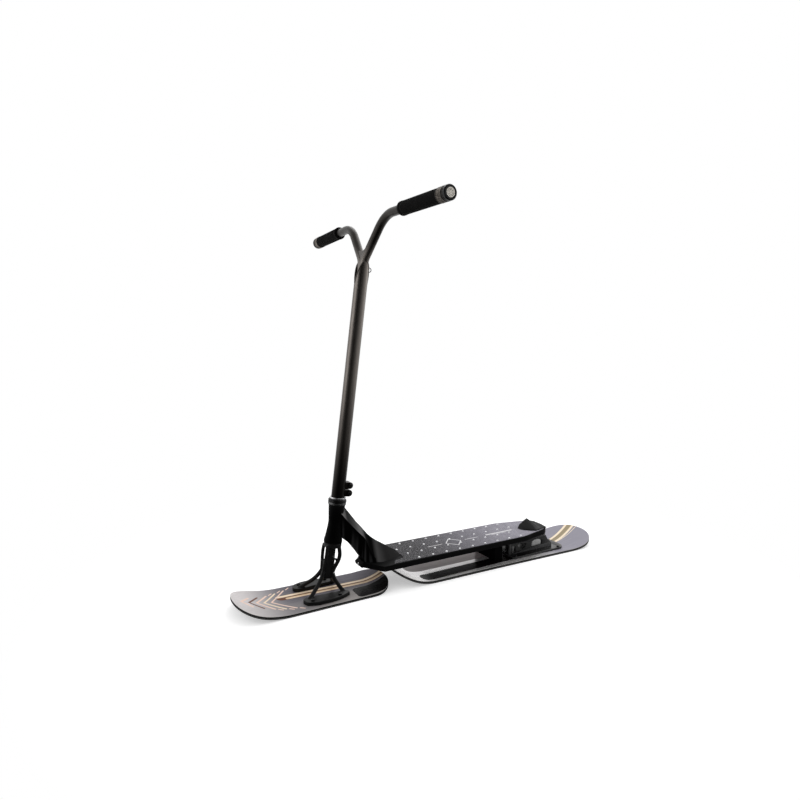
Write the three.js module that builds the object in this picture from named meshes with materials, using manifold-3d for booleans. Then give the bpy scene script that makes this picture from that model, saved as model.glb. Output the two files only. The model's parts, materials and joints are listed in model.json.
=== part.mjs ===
// Snow scooter: a Y-shaped handlebar and a four-legged fork steer a short front board,
// and a studded deck stands on a longer rear board. Millimetres, +X to the tail, +Y to the
// rider's right, +Z up. Along the leaned steering axis, heights are measured from the snow.

import * as THREE from "three";
import { mergeVertices } from "three/addons/utils/BufferGeometryUtils.js";
import Module from "manifold-3d";

const wasm = await Module();
wasm.setup();

// Shared clearances
const gap = 0.3;
const overrun = 3;
const runningGap = 1;

// Steering axis, leaned back from the vertical
const leanDegrees = 7.3;

// Front board: places along X from the steering axis, seen from above and from the side
const boardThickness = 7.5;
const baseThickness = 2;
const frontBoardAhead = 249.6;
const frontBoardBehind = 167.3;
const frontBoardNoseHalfWidth = 83.7;
const frontBoardTailHalfWidth = 78.8;
const frontBoardWaist = 0.5;
const frontBoardNoseRound = 77;
const frontBoardTailRound = 60.4;
const frontBoardNoseLift = 32.5;
const frontBoardTailLift = 16.9;
const frontBoardNoseRocker = 132.8;
const frontBoardTailRocker = 65.7;

// Rear board, its start measured from the front board's tail
const boardSpace = 11.5;
const rearBoardLength = 739.9;
const rearBoardNoseHalfWidth = 83.1;
const rearBoardTailHalfWidth = 91.3;
const rearBoardWaist = 1.9;
const rearBoardNoseRound = 73.4;
const rearBoardTailRound = 85.7;
const rearBoardNoseLift = 38.2;
const rearBoardTailLift = 27.1;
const rearBoardNoseRocker = 115.7;
const rearBoardTailRocker = 123.1;
const boardRoundShare = 2.37;
const boardTipShare = 0.1;

// Deck, a channel-backed aluminium plate
const deckTop = 74.3;
const deckThickness = 15;
const deckSkin = 4.5;
const deckHalfWidth = 73.7;
const deckFront = 98;
const deckFrontTaper = 36;
const deckTailSet = 54;
const deckTailTaper = 119;
const deckWall = 6;
const deckEndWall = 22;
const deckChannelCount = 3;

// Studded plate on the deck
const studPlateThickness = 1.2;
const studPlateInset = 3;
const studPlateSpace = 1.8;
const studPlateBulge = 48;
const studRadius = 2.9;
const studTipRadius = 1.7;
const studHeight = 2.6;
const studFrontInset = 53.45;
const studTailInset = 108.4;
const studSideInset = 10.7;
const studColumnCount = 10;
const studRowCentre = -5.3;
const studRowShiftShares = [0.6, 0.3, 0, 0.7];

// Foot stop at the deck's tail
const stopTailInset = 3;
const stopLength = 86;
const stopHalfWidth = 48;
const stopRise = 28;
const stopCentre = -8;
const stopFrontScrewInset = 18;
const stopBackScrewInset = 23;
const stopScrewSeat = 4.5;

// Head tube, waisted, and the neck behind it
const headTubeBottom = 141.4;
const headTubeLength = 100.9;
const headTubeTopWall = 3.3;
const headTubeWaistWall = 1.6;
const headTubeSkirtWall = 3.9;
const headTubeWaistShare = 0.57;
const headTubeFlareShare = 1.6;
const headTubeSkirtHeight = 5.5;
const steererRoom = 1.9;
const neckLength = 181.4;
const neckDrop = 9.3;
const neckHalfWidth = 24;

// Cap on the deck's narrow front end
const noseHalfWidth = 20;
const noseCapDepth = 8.5;
const noseCapBevel = 7.3;
const noseCapRake = 3;
const noseScrewRise = 5;
const noseScrewSink = 4.5;
const noseScrewLength = 18;

// Headset
const cupRim = 3.5;
const cupFlangeHeight = 6;
const cupSpigotStep = 2.7;
const cupSpigotDepth = 9;
const cupFloor = 1.5;
const bearingHeight = 6;
const ballSpace = 1.3;
const raceWall = 2.3;
const capHeight = 8.8;
const spacerWall = 6.7;
const spacerHeight = 4.2;
const crownRaceHeight = 2.4;
const crownRaceWall = 3;
const steererRadius = 14.3;
const steererWall = 2.4;
const steererInCrown = 9;
const shimWall = 0.95;
const shimHeight = 82;
const steererBelowShim = 2.5;
const washerHeight = 3;
const washerBoltRadius = 3.3;
const compressionBoltLength = 34;
const starNutHeight = 12;
const starFlange = 1;

// Handlebar: main tube, two arms in a Y, hands swept back a little
const barWall = 1.6;
const armRadius = 11.1;
const armWall = 1.5;
const barStemLength = 603.5;
const barNotchDepth = 44;
const barTubeCrest = 13;
const armSeat = 0.85;
const armLowerBend = 40;
const armUpperBend = 88;
const armSpreadDegrees = 42.4;
const armRise = 116.8;
const handSweepDegrees = 2;
const handDropDegrees = 0.4;
const handLength = 46.4;
const gussetRise = 43;
const gussetHalfDepth = 8;
const gussetSag = 2.8;
const slitWidth = 2.6;
const slitHeight = 68;
const earHeight = 17.5;
const earDepth = 18.55;
const earHalfWidth = 11;
const earBoltInset = 9.5;
const lowerEarRise = 11;
const upperEarRise = 31.3;
const pinchBoltRadius = 3;
const pinchHeadRadius = 5;
const pinchHeadHeight = 4.5;
const pinchNutRadius = 5.6;
const pinchNutHeight = 4.6;

// Grips, knurled rings and end caps
const gripLength = 153.9;
const gripWall = 5.9;
const gripNeckDepth = 1.8;
const gripFlangeWidth = 7;
const ringLength = 27.7;
const ringWall = 6;
const endCapLength = 7.9;
const endCapStep = 0.5;
const endCapSpigot = 16;
const eyeWireRadius = 1.05;
const eyeStand = 7.95;
const eyeHeight = 13;
const eyeDrop = 4;
const eyeSteps = 12;

// Fork: crown, four bowed arms, web, four legs and two foot rails
const crownRadius = 23.6;
const crownHeight = 12;
const forkArmRadius = 4.6;
const forkRearArmRadius = 5.3;
const webTop = 66;
const webHalfWidth = 5;
const linkHeight = 97;
const linkRadius = 3;
const linkEndShare = 0.5;
const linkMiddleShare = 0.2;
const linkSpanShare = 0.75;
const forkArmSteps = 9;
const legSteps = 6;
const legTopRadius = 5.6;
const legFootRadius = 5.2;
const railHeight = 9.5;
const railAhead = 82;
const railBehind = 48;
const railInner = 28;
const railOuter = 70;
const frontFootInset = 17;
const rearFootInset = 16;
const footSideInset = 11;
const frontBoltInset = 22;
const rearBoltInset = 34;
const boltSideInset = 16;
const footBoltRadius = 3;
const footBoltHeadRadius = 5.2;
const footBoltHeadHeight = 3.4;
const insertRadius = 6.5;

// Rear mount between board and deck
const mountTailSpace = 7.6;
const mountPlateLength = 210;
const mountPlateHalfWidth = 70;
const mountPlateThickness = 6;
const mountPlateFrontRadius = 8;
const mountPlateEndRadius = 24;
const mountTopFrontInset = 6;
const mountTopTailInset = 4;
const mountTopLip = 7;
const mountTopThickness = 5.5;
const cheekInset = 26;
const cheekThickness = 6;
const cheekFrontInset = 2;
const cheekTailReach = 18;
const riserSpace = 29;
const riserLength = 29;
const riserHalfWidth = 50;
const baseBoltInset = 12;
const baseBoltEdge = 7.25;
const screwRadius = 2.5;
const screwHeadRadius = 4.6;
const screwHeadHeight = 3;
const screwEdgeShare = 0.25;
const screwSocketShare = 0.5;

// Facets on round pieces
const fineSides = 24;
const roundSides = 18;
const smallSides = 8;
const studSides = 6;
const hexSides = 6;
const boreSides = 12;
const armSteps = 5;

const lean = THREE.MathUtils.degToRad(leanDegrees);

// Round pieces on the steering axis, from the steerer outward
const steererBore = steererRadius - steererWall;
const innerRace = steererRadius + gap;
const bearingRadius = innerRace + 2 * raceWall + ballSpace;
const headTubeBore = steererRadius + steererRoom;
const cupSpigotRadius = headTubeBore + cupSpigotStep;
const cupFlangeRadius = bearingRadius + cupRim;
const capRadius = cupFlangeRadius + gap;
const headTubeTopRadius = cupSpigotRadius + headTubeTopWall;
const headTubeWaistRadius = headTubeBore + headTubeWaistWall;
const headTubeSkirtRadius = bearingRadius + headTubeSkirtWall;
const spacerRadius = innerRace + spacerWall;
const crownRaceRadius = innerRace + crownRaceWall;
const shimOuter = innerRace + shimWall;
const barRadius = shimOuter + gap + barWall;
const armInset = barRadius - armRadius - armSeat;
const earReach = barRadius + earDepth;
const earBoltOffset = earReach - earBoltInset;
const eyeReach = barRadius + eyeStand;
const gripRadius = armRadius + gripWall;
const gripNeckRadius = gripRadius - gripNeckDepth;
const ringRadius = armRadius + ringWall;
const endCapRadius = ringRadius - endCapStep;

// Heights along the steering axis
const headTubeTop = headTubeBottom + headTubeLength;
const crownTop = headTubeBottom - runningGap;
const lowerBearingBottom = crownTop + gap + crownRaceHeight + gap;
const upperBearingBottom = headTubeTop + gap + cupFloor + gap;
const cupTop = headTubeTop + gap + cupFlangeHeight;
const capBottom = cupTop + gap;
const capTop = capBottom + capHeight;
const spacerBottom = capTop + gap;
const spacerTop = spacerBottom + spacerHeight;
const barBottom = spacerTop + gap;
const earHeights = [barBottom + lowerEarRise, barBottom + upperEarRise];
const barFork = barBottom + barStemLength;
const barNotchStart = barFork - barNotchDepth;
const barTubeTop = barFork + barTubeCrest;
const eyeCentreHeight = barFork - eyeDrop;
const gussetHeight = barFork + gussetRise;
const armHeight = barFork + armRise;

// Places along the scooter, the rear mount set by the flat end of the rear board
const rearBoardStart = frontBoardBehind + boardSpace;
const rearBoardEnd = rearBoardStart + rearBoardLength;
const mountPlateEnd = rearBoardEnd - rearBoardTailRocker - mountTailSpace;
const mountPlateFront = mountPlateEnd - mountPlateLength;
const riserFront = mountPlateFront - riserSpace - riserLength;
const deckTail = mountPlateEnd - deckTailSet;
const mountTopFront = mountPlateFront + mountTopFrontInset;
const mountTopEnd = deckTail - mountTopTailInset;
const cheekFront = mountPlateFront + cheekFrontInset;
const cheekEnd = deckTail + cheekTailReach;
const cheekOffset = mountPlateHalfWidth - cheekInset;
const mountTopHalfWidth = cheekOffset + cheekThickness / 2 + mountTopLip;
const stopStart = deckTail - stopTailInset - stopLength;
const stopScrewPlaces = [stopStart + stopFrontScrewInset, stopStart + stopLength - stopBackScrewInset];
const neckHeight = headTubeTop - neckDrop;
const neckStart = neckHeight * Math.tan(lean);
const studPlateFront = neckStart + neckLength + studPlateSpace - studPlateBulge;
const studStart = studPlateFront + studFrontInset;
const studPitch = (deckTail - studTailInset - studStart) / (studColumnCount - 1);
const frontFoot = railAhead - frontFootInset;
const rearFoot = railBehind - rearFootInset;
const footSpan = railInner + footSideInset;
const frontBolt = railAhead - frontBoltInset;
const rearBolt = railBehind - rearBoltInset;
const boltSpan = railOuter - boltSideInset;

const vec = (x, y, z) => new THREE.Vector3(x, y, z);

// Materials
const paint = (color, roughness, metalness) =>
  new THREE.MeshStandardMaterial({ color, roughness, metalness, flatShading: true });
const satinBlack = paint(0x17171a, 0.45, 0.6);
const gunmetal = paint(0x4b453e, 0.35, 0.85);
const rubber = paint(0x1b1b1c, 0.85, 0);
const bronze = paint(0x6d6558, 0.4, 0.8);
const steel = paint(0xb9bbbd, 0.25, 1);
const darkSteel = paint(0x3a3b3e, 0.4, 0.9);
const topSheet = paint(0xbdb9c4, 0.35, 0.1);
const slidingBase = paint(0x141416, 0.5, 0);
const gripGrey = paint(0x6f7076, 0.8, 0.2);
const plastic = paint(0x202023, 0.6, 0);

// Closed meshes to solids and back
function solidOf(geometry) {
  const bare = geometry.clone();
  bare.deleteAttribute("normal");
  bare.deleteAttribute("uv");
  const merged = mergeVertices(bare);
  return new wasm.Manifold(
    new wasm.Mesh({
      numProp: 3,
      vertProperties: merged.attributes.position.array,
      triVerts: new Uint32Array(merged.index.array),
    }),
  );
}

function geometryOf(solid) {
  const mesh = solid.getMesh();
  const geometry = new THREE.BufferGeometry();
  geometry.setAttribute("position", new THREE.BufferAttribute(mesh.vertProperties, mesh.numProp));
  geometry.setIndex(new THREE.BufferAttribute(mesh.triVerts, 1));
  return geometry;
}

function join(...geometries) {
  return geometryOf(geometries.map(solidOf).reduce((sum, solid) => sum.add(solid)));
}

function cut(geometry, ...tools) {
  const subtract = (rest, tool) => rest.subtract(tool);
  return geometryOf(tools.map(solidOf).reduce(subtract, solidOf(geometry)));
}

// Turns a closed mesh's faces outward, whichever way its rings ran
function outward(geometry) {
  const p = geometry.attributes.position;
  const index = geometry.index.array;
  const [a, b, c] = [vec(0, 0, 0), vec(0, 0, 0), vec(0, 0, 0)];
  let volume = 0;
  for (let i = 0; i < index.length; i += 3) {
    a.fromBufferAttribute(p, index[i]);
    b.fromBufferAttribute(p, index[i + 1]);
    c.fromBufferAttribute(p, index[i + 2]);
    volume += a.dot(b.cross(c));
  }
  if (volume < 0) index.reverse();
  return geometry;
}

// A closed solid through rings that hold the same number of points, with flat ends
function loft(rings) {
  const count = rings[0].length;
  const index = [];
  for (let i = 0; i + 1 < rings.length; i++) {
    for (let j = 0; j < count; j++) {
      const a = i * count + j;
      const b = i * count + ((j + 1) % count);
      index.push(a, b, b + count, a, b + count, a + count);
    }
  }
  const last = (rings.length - 1) * count;
  for (let j = 1; j + 1 < count; j++) {
    index.push(0, j + 1, j, last, last + j, last + j + 1);
  }
  const geometry = new THREE.BufferGeometry().setFromPoints(rings.flat());
  geometry.setIndex(new THREE.BufferAttribute(new Uint32Array(index), 1));
  return outward(geometry);
}

// A round limb through points; radiusAt gives its radius at a share of the points
function limb(points, radiusAt, sides, reference = vec(1, 0, 0)) {
  const last = points.length - 1;
  const rings = points.map((centre, i) => {
    const along = points[Math.min(i + 1, last)].clone().sub(points[Math.max(i - 1, 0)]);
    const across = along.clone().cross(reference).normalize();
    const back = along.clone().cross(across).normalize();
    const r = radiusAt(i / last);
    const ring = [];
    for (let j = 0; j < sides; j++) {
      const angle = (2 * Math.PI * j) / sides;
      const spoke = across.clone().multiplyScalar(r * Math.cos(angle));
      ring.push(spoke.addScaledVector(back, r * Math.sin(angle)).add(centre));
    }
    return ring;
  });
  return loft(rings);
}

// Points spaced evenly along a smooth curve through a few places
function smooth(places, steps) {
  return new THREE.CatmullRomCurve3(places, false, "centripetal").getSpacedPoints(steps);
}

// Points [radius, height] turned about Z; a ring's profile closes on itself
function turned(profile, sides = roundSides) {
  const points = profile.map(([r, z]) => new THREE.Vector2(r, z));
  const geometry = new THREE.LatheGeometry(points, sides).rotateX(Math.PI / 2);
  const merged = geometry.clone();
  merged.deleteAttribute("normal");
  merged.deleteAttribute("uv");
  return outward(mergeVertices(merged));
}

function ring(inner, outer, bottom, top, sides = roundSides) {
  const profile = [
    [inner, bottom],
    [outer, bottom],
    [outer, top],
    [inner, top],
    [inner, bottom],
  ];
  return turned(profile, sides);
}

function rod(radius, bottom, top, sides = roundSides) {
  return new THREE.CylinderGeometry(radius, radius, top - bottom, sides)
    .rotateX(Math.PI / 2)
    .translate(0, 0, (top + bottom) / 2);
}

// A block between two corners
function block(x0, x1, y0, y1, z0, z1) {
  return new THREE.BoxGeometry(x1 - x0, y1 - y0, z1 - z0).translate(
    (x0 + x1) / 2,
    (y0 + y1) / 2,
    (z0 + z1) / 2,
  );
}

// An outline of [x, y] points raised from one height to another
function plate(outline, bottom, top) {
  const shape = new THREE.Shape(outline.map(([x, y]) => new THREE.Vector2(x, y)));
  const options = { depth: top - bottom, bevelEnabled: false };
  return new THREE.ExtrudeGeometry(shape, options).translate(0, 0, bottom);
}

// An outline of [x, z] points drawn out along Y
function sidePlate(outline, y0, y1) {
  return plate(outline, -y1, -y0).rotateX(Math.PI / 2);
}

// A screw with its head's seat at height zero, its shank below and a hexagon socket on top
function screw(radius, length, headRadius, headHeight) {
  const edge = headHeight * screwEdgeShare;
  const body = turned(
    [
      [0, -length],
      [radius, -length],
      [radius, 0],
      [headRadius, 0],
      [headRadius, headHeight - edge],
      [headRadius - edge, headHeight],
      [0, headHeight],
    ],
    smallSides,
  );
  const socketBottom = headHeight * screwSocketShare;
  return cut(body, rod(headRadius * screwSocketShare, socketBottom, headHeight + overrun, hexSides));
}

// Nested frames: world-level pieces, and pieces on the leaned steering axis
const scooter = new THREE.Group();
scooter.position.x = (frontBoardAhead - rearBoardEnd) / 2;
const steering = new THREE.Group();
steering.rotation.y = lean;
scooter.add(steering);

function piece(name, geometry, material, parent = scooter) {
  geometry.computeVertexNormals();
  const mesh = new THREE.Mesh(geometry, material);
  mesh.name = name;
  parent.add(mesh);
  return mesh;
}

// A board's plan and side as stations along X: [x, half width, lift]
function boardStations(start, end, noseHalf, tailHalf, waist, noseRound, tailRound, lifts) {
  const steps = 8;
  const [noseLift, noseRocker, tailLift, tailRocker] = lifts;
  const noseX = start + noseRound;
  const tailX = end - tailRound;
  const xs = [];
  const arc = (i) => Math.cos((Math.PI / 2) * (i / steps)) ** (2 / boardRoundShare);
  for (let i = 0; i <= steps; i++) {
    xs.push(noseX - noseRound * arc(i), tailX + tailRound * arc(i));
  }
  const flatSteps = 4;
  for (let i = 1; i < flatSteps; i++) {
    xs.push(noseX + ((tailX - noseX) * i) / flatSteps);
    if (noseRocker > noseRound) xs.push(noseX + ((noseRocker - noseRound) * i) / flatSteps);
    if (tailRocker > tailRound) xs.push(tailX - ((tailRocker - tailRound) * i) / flatSteps);
  }
  xs.sort((a, b) => a - b);
  const round = (share) => Math.max(1 - share ** boardRoundShare, 0) ** (1 / boardRoundShare);
  return xs.map((x) => {
    const share = THREE.MathUtils.clamp((x - noseX) / (tailX - noseX), 0, 1);
    const middle = noseHalf + (tailHalf - noseHalf) * share - 4 * waist * share * (1 - share);
    const nose = round(Math.max(noseX - x, 0) / noseRound);
    const tail = round(Math.max(x - tailX, 0) / tailRound);
    const half = middle * Math.max(Math.min(nose, tail), boardTipShare);
    const noseRise = noseLift * Math.max((start + noseRocker - x) / noseRocker, 0) ** 2;
    const tailRise = tailLift * Math.max((x - end + tailRocker) / tailRocker, 0) ** 2;
    return [x, half, noseRise + tailRise];
  });
}

// A layer of a board between two heights over its underside
function boardLayer(stations, bottom, top) {
  return loft(
    stations.map(([x, half, lift]) => [
      vec(x, -half, lift + bottom),
      vec(x, half, lift + bottom),
      vec(x, half, lift + top),
      vec(x, -half, lift + top),
    ]),
  );
}

const frontStations = boardStations(
  -frontBoardAhead,
  frontBoardBehind,
  frontBoardNoseHalfWidth,
  frontBoardTailHalfWidth,
  frontBoardWaist,
  frontBoardNoseRound,
  frontBoardTailRound,
  [frontBoardNoseLift, frontBoardNoseRocker, frontBoardTailLift, frontBoardTailRocker],
);
const rearStations = boardStations(
  rearBoardStart,
  rearBoardEnd,
  rearBoardNoseHalfWidth,
  rearBoardTailHalfWidth,
  rearBoardWaist,
  rearBoardNoseRound,
  rearBoardTailRound,
  [rearBoardNoseLift, rearBoardNoseRocker, rearBoardTailLift, rearBoardTailRocker],
);
const footPlaces = [
  ["front_left", -frontBolt, -boltSpan],
  ["front_right", -frontBolt, boltSpan],
  ["rear_left", rearBolt, -boltSpan],
  ["rear_right", rearBolt, boltSpan],
];
const railBottom = boardThickness + gap;
const railTop = railBottom + railHeight;
const coreBottom = baseThickness + gap;
const insertTop = boardThickness - gap;

function addFrontBoard() {
  const holes = footPlaces.map(([, x, y]) =>
    rod(insertRadius + gap, coreBottom + gap, boardThickness + overrun, smallSides).translate(x, y, 0),
  );
  piece("front_board", cut(boardLayer(frontStations, coreBottom, boardThickness), ...holes), topSheet);
  piece("front_board_base", boardLayer(frontStations, 0, baseThickness), slidingBase);
  for (const [place, x, y] of footPlaces) {
    const insert = ring(footBoltRadius + gap, insertRadius, coreBottom + 2 * gap, insertTop, smallSides);
    piece("board_insert_" + place, insert, steel).position.set(x, y, 0);
    const length = railTop - coreBottom - 2 * gap;
    const bolt = screw(footBoltRadius, length, footBoltHeadRadius, footBoltHeadHeight);
    piece("foot_bolt_" + place, bolt, steel).position.set(x, y, railTop + gap);
  }
}

function addRearBoard(boltPlaces) {
  const holes = boltPlaces.map(([x, y]) =>
    screwHole(coreBottom + gap, boardThickness + overrun).translate(x, y, 0),
  );
  piece("rear_board", cut(boardLayer(rearStations, coreBottom, boardThickness), ...holes), topSheet);
  piece("rear_board_base", boardLayer(rearStations, 0, baseThickness), slidingBase);
}

// The deck's taper to its tail: shares of the taper's length and of the half width
const deckTailShares = [
  [0, 1],
  [0.15, 0.965],
  [0.35, 0.87],
  [0.6, 0.78],
  [0.85, 0.66],
  [0.96, 0.57],
  [1, 0.46],
];

// The deck seen from above, drawn in by an inset; the points of its front end are given
function deckOutline(inset, frontPoints) {
  const half = deckHalfWidth - inset;
  const tail = deckTailShares.map(([along, across]) => [
    deckTail - inset - deckTailTaper * (1 - along),
    half * across,
  ]);
  const mirrored = tail.map(([x, y]) => [x, -y]);
  return [...mirrored, ...tail.reverse(), ...frontPoints(half)];
}

const deckBottom = deckTop - deckThickness;
const plateTop = deckTop + gap + studPlateThickness;

function addDeck() {
  const tapered = (half) => [
    [deckFront + deckFrontTaper, half],
    [deckFront, noseHalfWidth],
    [deckFront, -noseHalfWidth],
    [deckFront + deckFrontTaper, -half],
  ];
  const body = plate(deckOutline(0, tapered), deckBottom, deckTop);
  const room = (2 * deckHalfWidth - (deckChannelCount + 1) * deckWall) / deckChannelCount;
  const channels = [];
  for (let i = 0; i < deckChannelCount; i++) {
    const y0 = -deckHalfWidth + deckWall + i * (room + deckWall);
    const front = deckFront + deckFrontTaper + deckEndWall;
    const back = deckTail - deckTailTaper - deckEndWall;
    channels.push(block(front, back, y0, y0 + room, deckBottom - overrun, deckTop - deckSkin));
  }
  const screwHoles = stopScrewPlaces.map((x) =>
    screwHole(deckBottom - overrun, deckTop + overrun).translate(x, stopCentre, 0),
  );
  const frontHole = screwHole(deckFront - overrun, deckFront + noseScrewLength)
    .rotateY(Math.PI / 2)
    .translate(0, 0, deckBottom + noseScrewRise);
  piece("deck", cut(body, ...channels, ...screwHoles, frontHole), satinBlack);
}

// The plate's front edge, set back round the neck's foot: across, then along
const studPlateFrontShares = [
  [1, 0],
  [0.7, 0.28],
  [0.66, 0.68],
  [0.6, 0.9],
  [0.45, 0.97],
  [0.25, 1],
];

function addStudPlate() {
  const arc = (half) => {
    const right = studPlateFrontShares.map(([across, along]) => [
      studPlateFront + studPlateBulge * along,
      half * across,
    ]);
    const left = right.map(([x, y]) => [x, -y]);
    return [...right, ...left.reverse()];
  };
  const bottom = deckTop + gap;
  const body = plate(deckOutline(studPlateInset, arc), bottom, plateTop);
  const studs = [];
  const rowGaps = studRowShiftShares.length - 1;
  const rowSpan = 2 * (deckHalfWidth - studPlateInset - studSideInset);
  studRowShiftShares.forEach((shift, row) => {
    const y = studRowCentre + (row / rowGaps - 0.5) * rowSpan;
    for (let i = 0; i + shift <= studColumnCount - 1; i++) {
      const x = studStart + (i + shift) * studPitch;
      const profile = [
        [0, bottom],
        [studRadius, bottom],
        [studRadius, plateTop],
        [studTipRadius, plateTop + studHeight],
        [0, plateTop + studHeight],
      ];
      studs.push(turned(profile, studSides).translate(x, y, 0));
    }
  });
  const screwHoles = stopScrewPlaces.map((x) =>
    screwHole(bottom - overrun, plateTop + overrun).translate(x, stopCentre, 0),
  );
  piece("stud_plate", cut(join(body, ...studs), ...screwHoles), gripGrey);
}

// Foot stop: a peaked wedge that runs out to a flat wing over the deck's end.
// Each station: its place along the stop, ridge height, edge height, width to the left, width
// to the right and half ridge width; its front is skewed to the left
const stopStationShares = [
  [0, 0.06, 0.03, 0.19, 0.04, 0.03],
  [0.06, 0.4, 0.08, 0.42, 0.1, 0.04],
  [0.23, 0.72, 0.1, 0.7, 0.32, 0.05],
  [0.41, 1, 0.12, 0.92, 0.6, 0.05],
  [0.62, 0.45, 0.12, 0.86, 0.82, 0.16],
  [0.7, 0.31, 0.11, 0.8, 0.9, 0.3],
  [0.92, 0.28, 0.1, 0.76, 1, 0.36],
  [1, 0.1, 0.06, 0.75, 0.98, 0.4],
];
const stopBottom = plateTop + gap;
const stopSeat = stopBottom + stopScrewSeat;

function addFootStop() {
  const rings = stopStationShares.map(([along, ridge, edge, left, right, top]) => {
    const x = stopStart + stopLength * along;
    const section = [
      [-left, 0],
      [right, 0],
      [right, edge],
      [top, ridge],
      [-top, ridge],
      [-left, edge],
    ];
    return section.map(([across, rise]) =>
      vec(x, stopCentre + stopHalfWidth * across, stopBottom + stopRise * rise),
    );
  });
  const holes = stopScrewPlaces.flatMap((x) => [
    screwHole(stopBottom - overrun, stopSeat + overrun).translate(x, stopCentre, 0),
    headHole(stopSeat, stopBottom + stopRise + overrun, gap).translate(x, stopCentre, 0),
  ]);
  piece("foot_stop", cut(loft(rings), ...holes), plastic);
  const length = stopSeat + gap - (deckBottom - mountTopThickness);
  const names = ["foot_stop_screw_front", "foot_stop_screw_back"];
  stopScrewPlaces.forEach((x, i) => {
    const body = screw(screwRadius, length, screwHeadRadius, screwHeadHeight);
    piece(names[i], body, steel).position.set(x, stopCentre, stopSeat + gap);
  });
}

function screwHole(bottom, top) {
  return rod(screwRadius + gap, bottom, top, smallSides);
}

function headHole(bottom, top, clearance) {
  return rod(screwHeadRadius + clearance, bottom, top, smallSides);
}

// Rear mount: a plate bolted to the board, two windowed cheeks and a plate under the deck,
// with a riser block ahead of them
const mountBottom = boardThickness + gap;
const mountPlateTop = mountBottom + mountPlateThickness;
const mountTopTop = deckBottom - gap;
const mountTopBottom = mountTopTop - mountTopThickness;

function roundedPlate(x0, x1, half, frontRadius, backRadius, bottom, top) {
  const shape = new THREE.Shape();
  shape.moveTo(x0 + frontRadius, -half);
  shape.lineTo(x1 - backRadius, -half);
  shape.absarc(x1 - backRadius, -half + backRadius, backRadius, -Math.PI / 2, 0);
  shape.absarc(x1 - backRadius, half - backRadius, backRadius, 0, Math.PI / 2);
  shape.lineTo(x0 + frontRadius, half);
  shape.absarc(x0 + frontRadius, half - frontRadius, frontRadius, Math.PI / 2, Math.PI);
  shape.absarc(x0 + frontRadius, -half + frontRadius, frontRadius, Math.PI, 1.5 * Math.PI);
  const options = { depth: top - bottom, bevelEnabled: false, curveSegments: 5 };
  return new THREE.ExtrudeGeometry(shape, options).translate(0, 0, bottom);
}

// A cheek's outline and windows, as shares of its length and height
const cheekOutlineShares = [
  [0, 0],
  [1, 0],
  [0.98, 0.36],
  [0.9, 0.62],
  [0.85, 1],
  [0, 1],
];
const cheekWindowShares = [
  [
    [0.06, 0.14],
    [0.13, 0.14],
    [0.13, 0.55],
    [0.06, 0.7],
  ],
  [
    [0.19, 0.6],
    [0.23, 0.36],
    [0.285, 0.26],
    [0.355, 0.38],
    [0.38, 0.7],
    [0.19, 0.75],
  ],
  [
    [0.51, 0.34],
    [0.755, 0.34],
    [0.755, 0.6],
    [0.715, 0.75],
    [0.65, 0.82],
    [0.57, 0.8],
    [0.51, 0.68],
  ],
];

// A screw through a mount plate into the board
function boardScrew() {
  const length = mountPlateThickness + boardThickness - coreBottom;
  return screw(screwRadius, length, screwHeadRadius, screwHeadHeight);
}

function addRearMount(boltPlaces) {
  const plateHoles = boltPlaces.map(([x, y]) =>
    screwHole(mountBottom - overrun, mountPlateTop + overrun).translate(x, y, 0),
  );
  const base = roundedPlate(
    mountPlateFront,
    mountPlateEnd,
    mountPlateHalfWidth,
    mountPlateFrontRadius,
    mountPlateEndRadius,
    mountBottom,
    mountPlateTop,
  );
  piece("mount_base_plate", cut(base, ...plateHoles), satinBlack);
  boltPlaces.forEach(([x, y], i) => {
    piece("base_bolt_" + basePlaceNames[i], boardScrew(), steel).position.set(x, y, mountPlateTop + gap);
  });
  const topHoles = stopScrewPlaces.map((x) =>
    screwHole(mountTopBottom - overrun, mountTopTop + overrun).translate(x, stopCentre, 0),
  );
  const top = roundedPlate(
    mountTopFront,
    mountTopEnd,
    mountTopHalfWidth,
    mountPlateFrontRadius,
    mountPlateEndRadius,
    mountTopBottom,
    mountTopTop,
  );
  piece("mount_top_plate", cut(top, ...topHoles), satinBlack);
  for (const [side, y] of [["left", -cheekOffset], ["right", cheekOffset]]) {
    const bottom = mountPlateTop + gap;
    const place = ([along, up]) => [
      cheekFront + (cheekEnd - cheekFront) * along,
      bottom + (mountTopBottom - gap - bottom) * up,
    ];
    const y0 = y - cheekThickness / 2;
    const y1 = y + cheekThickness / 2;
    const windows = cheekWindowShares.map((points) =>
      sidePlate(points.map(place), y0 - overrun, y1 + overrun),
    );
    const cheek = sidePlate(cheekOutlineShares.map(place), y0, y1);
    piece("mount_cheek_" + side, cut(cheek, ...windows), satinBlack);
  }
}

function addRiser(places) {
  const seat = mountBottom + mountPlateThickness;
  const body = block(
    riserFront,
    riserFront + riserLength,
    -riserHalfWidth,
    riserHalfWidth,
    mountBottom,
    mountTopTop,
  );
  const holes = places.flatMap(([x, y]) => [
    screwHole(mountBottom - overrun, seat + overrun).translate(x, y, 0),
    headHole(seat, mountTopTop + overrun, runningGap).translate(x, y, 0),
  ]);
  piece("riser", cut(body, ...holes), satinBlack);
  places.forEach(([x, y], i) => {
    piece("riser_bolt_" + (i ? "right" : "left"), boardScrew(), steel).position.set(x, y, seat + gap);
  });
}

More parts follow.
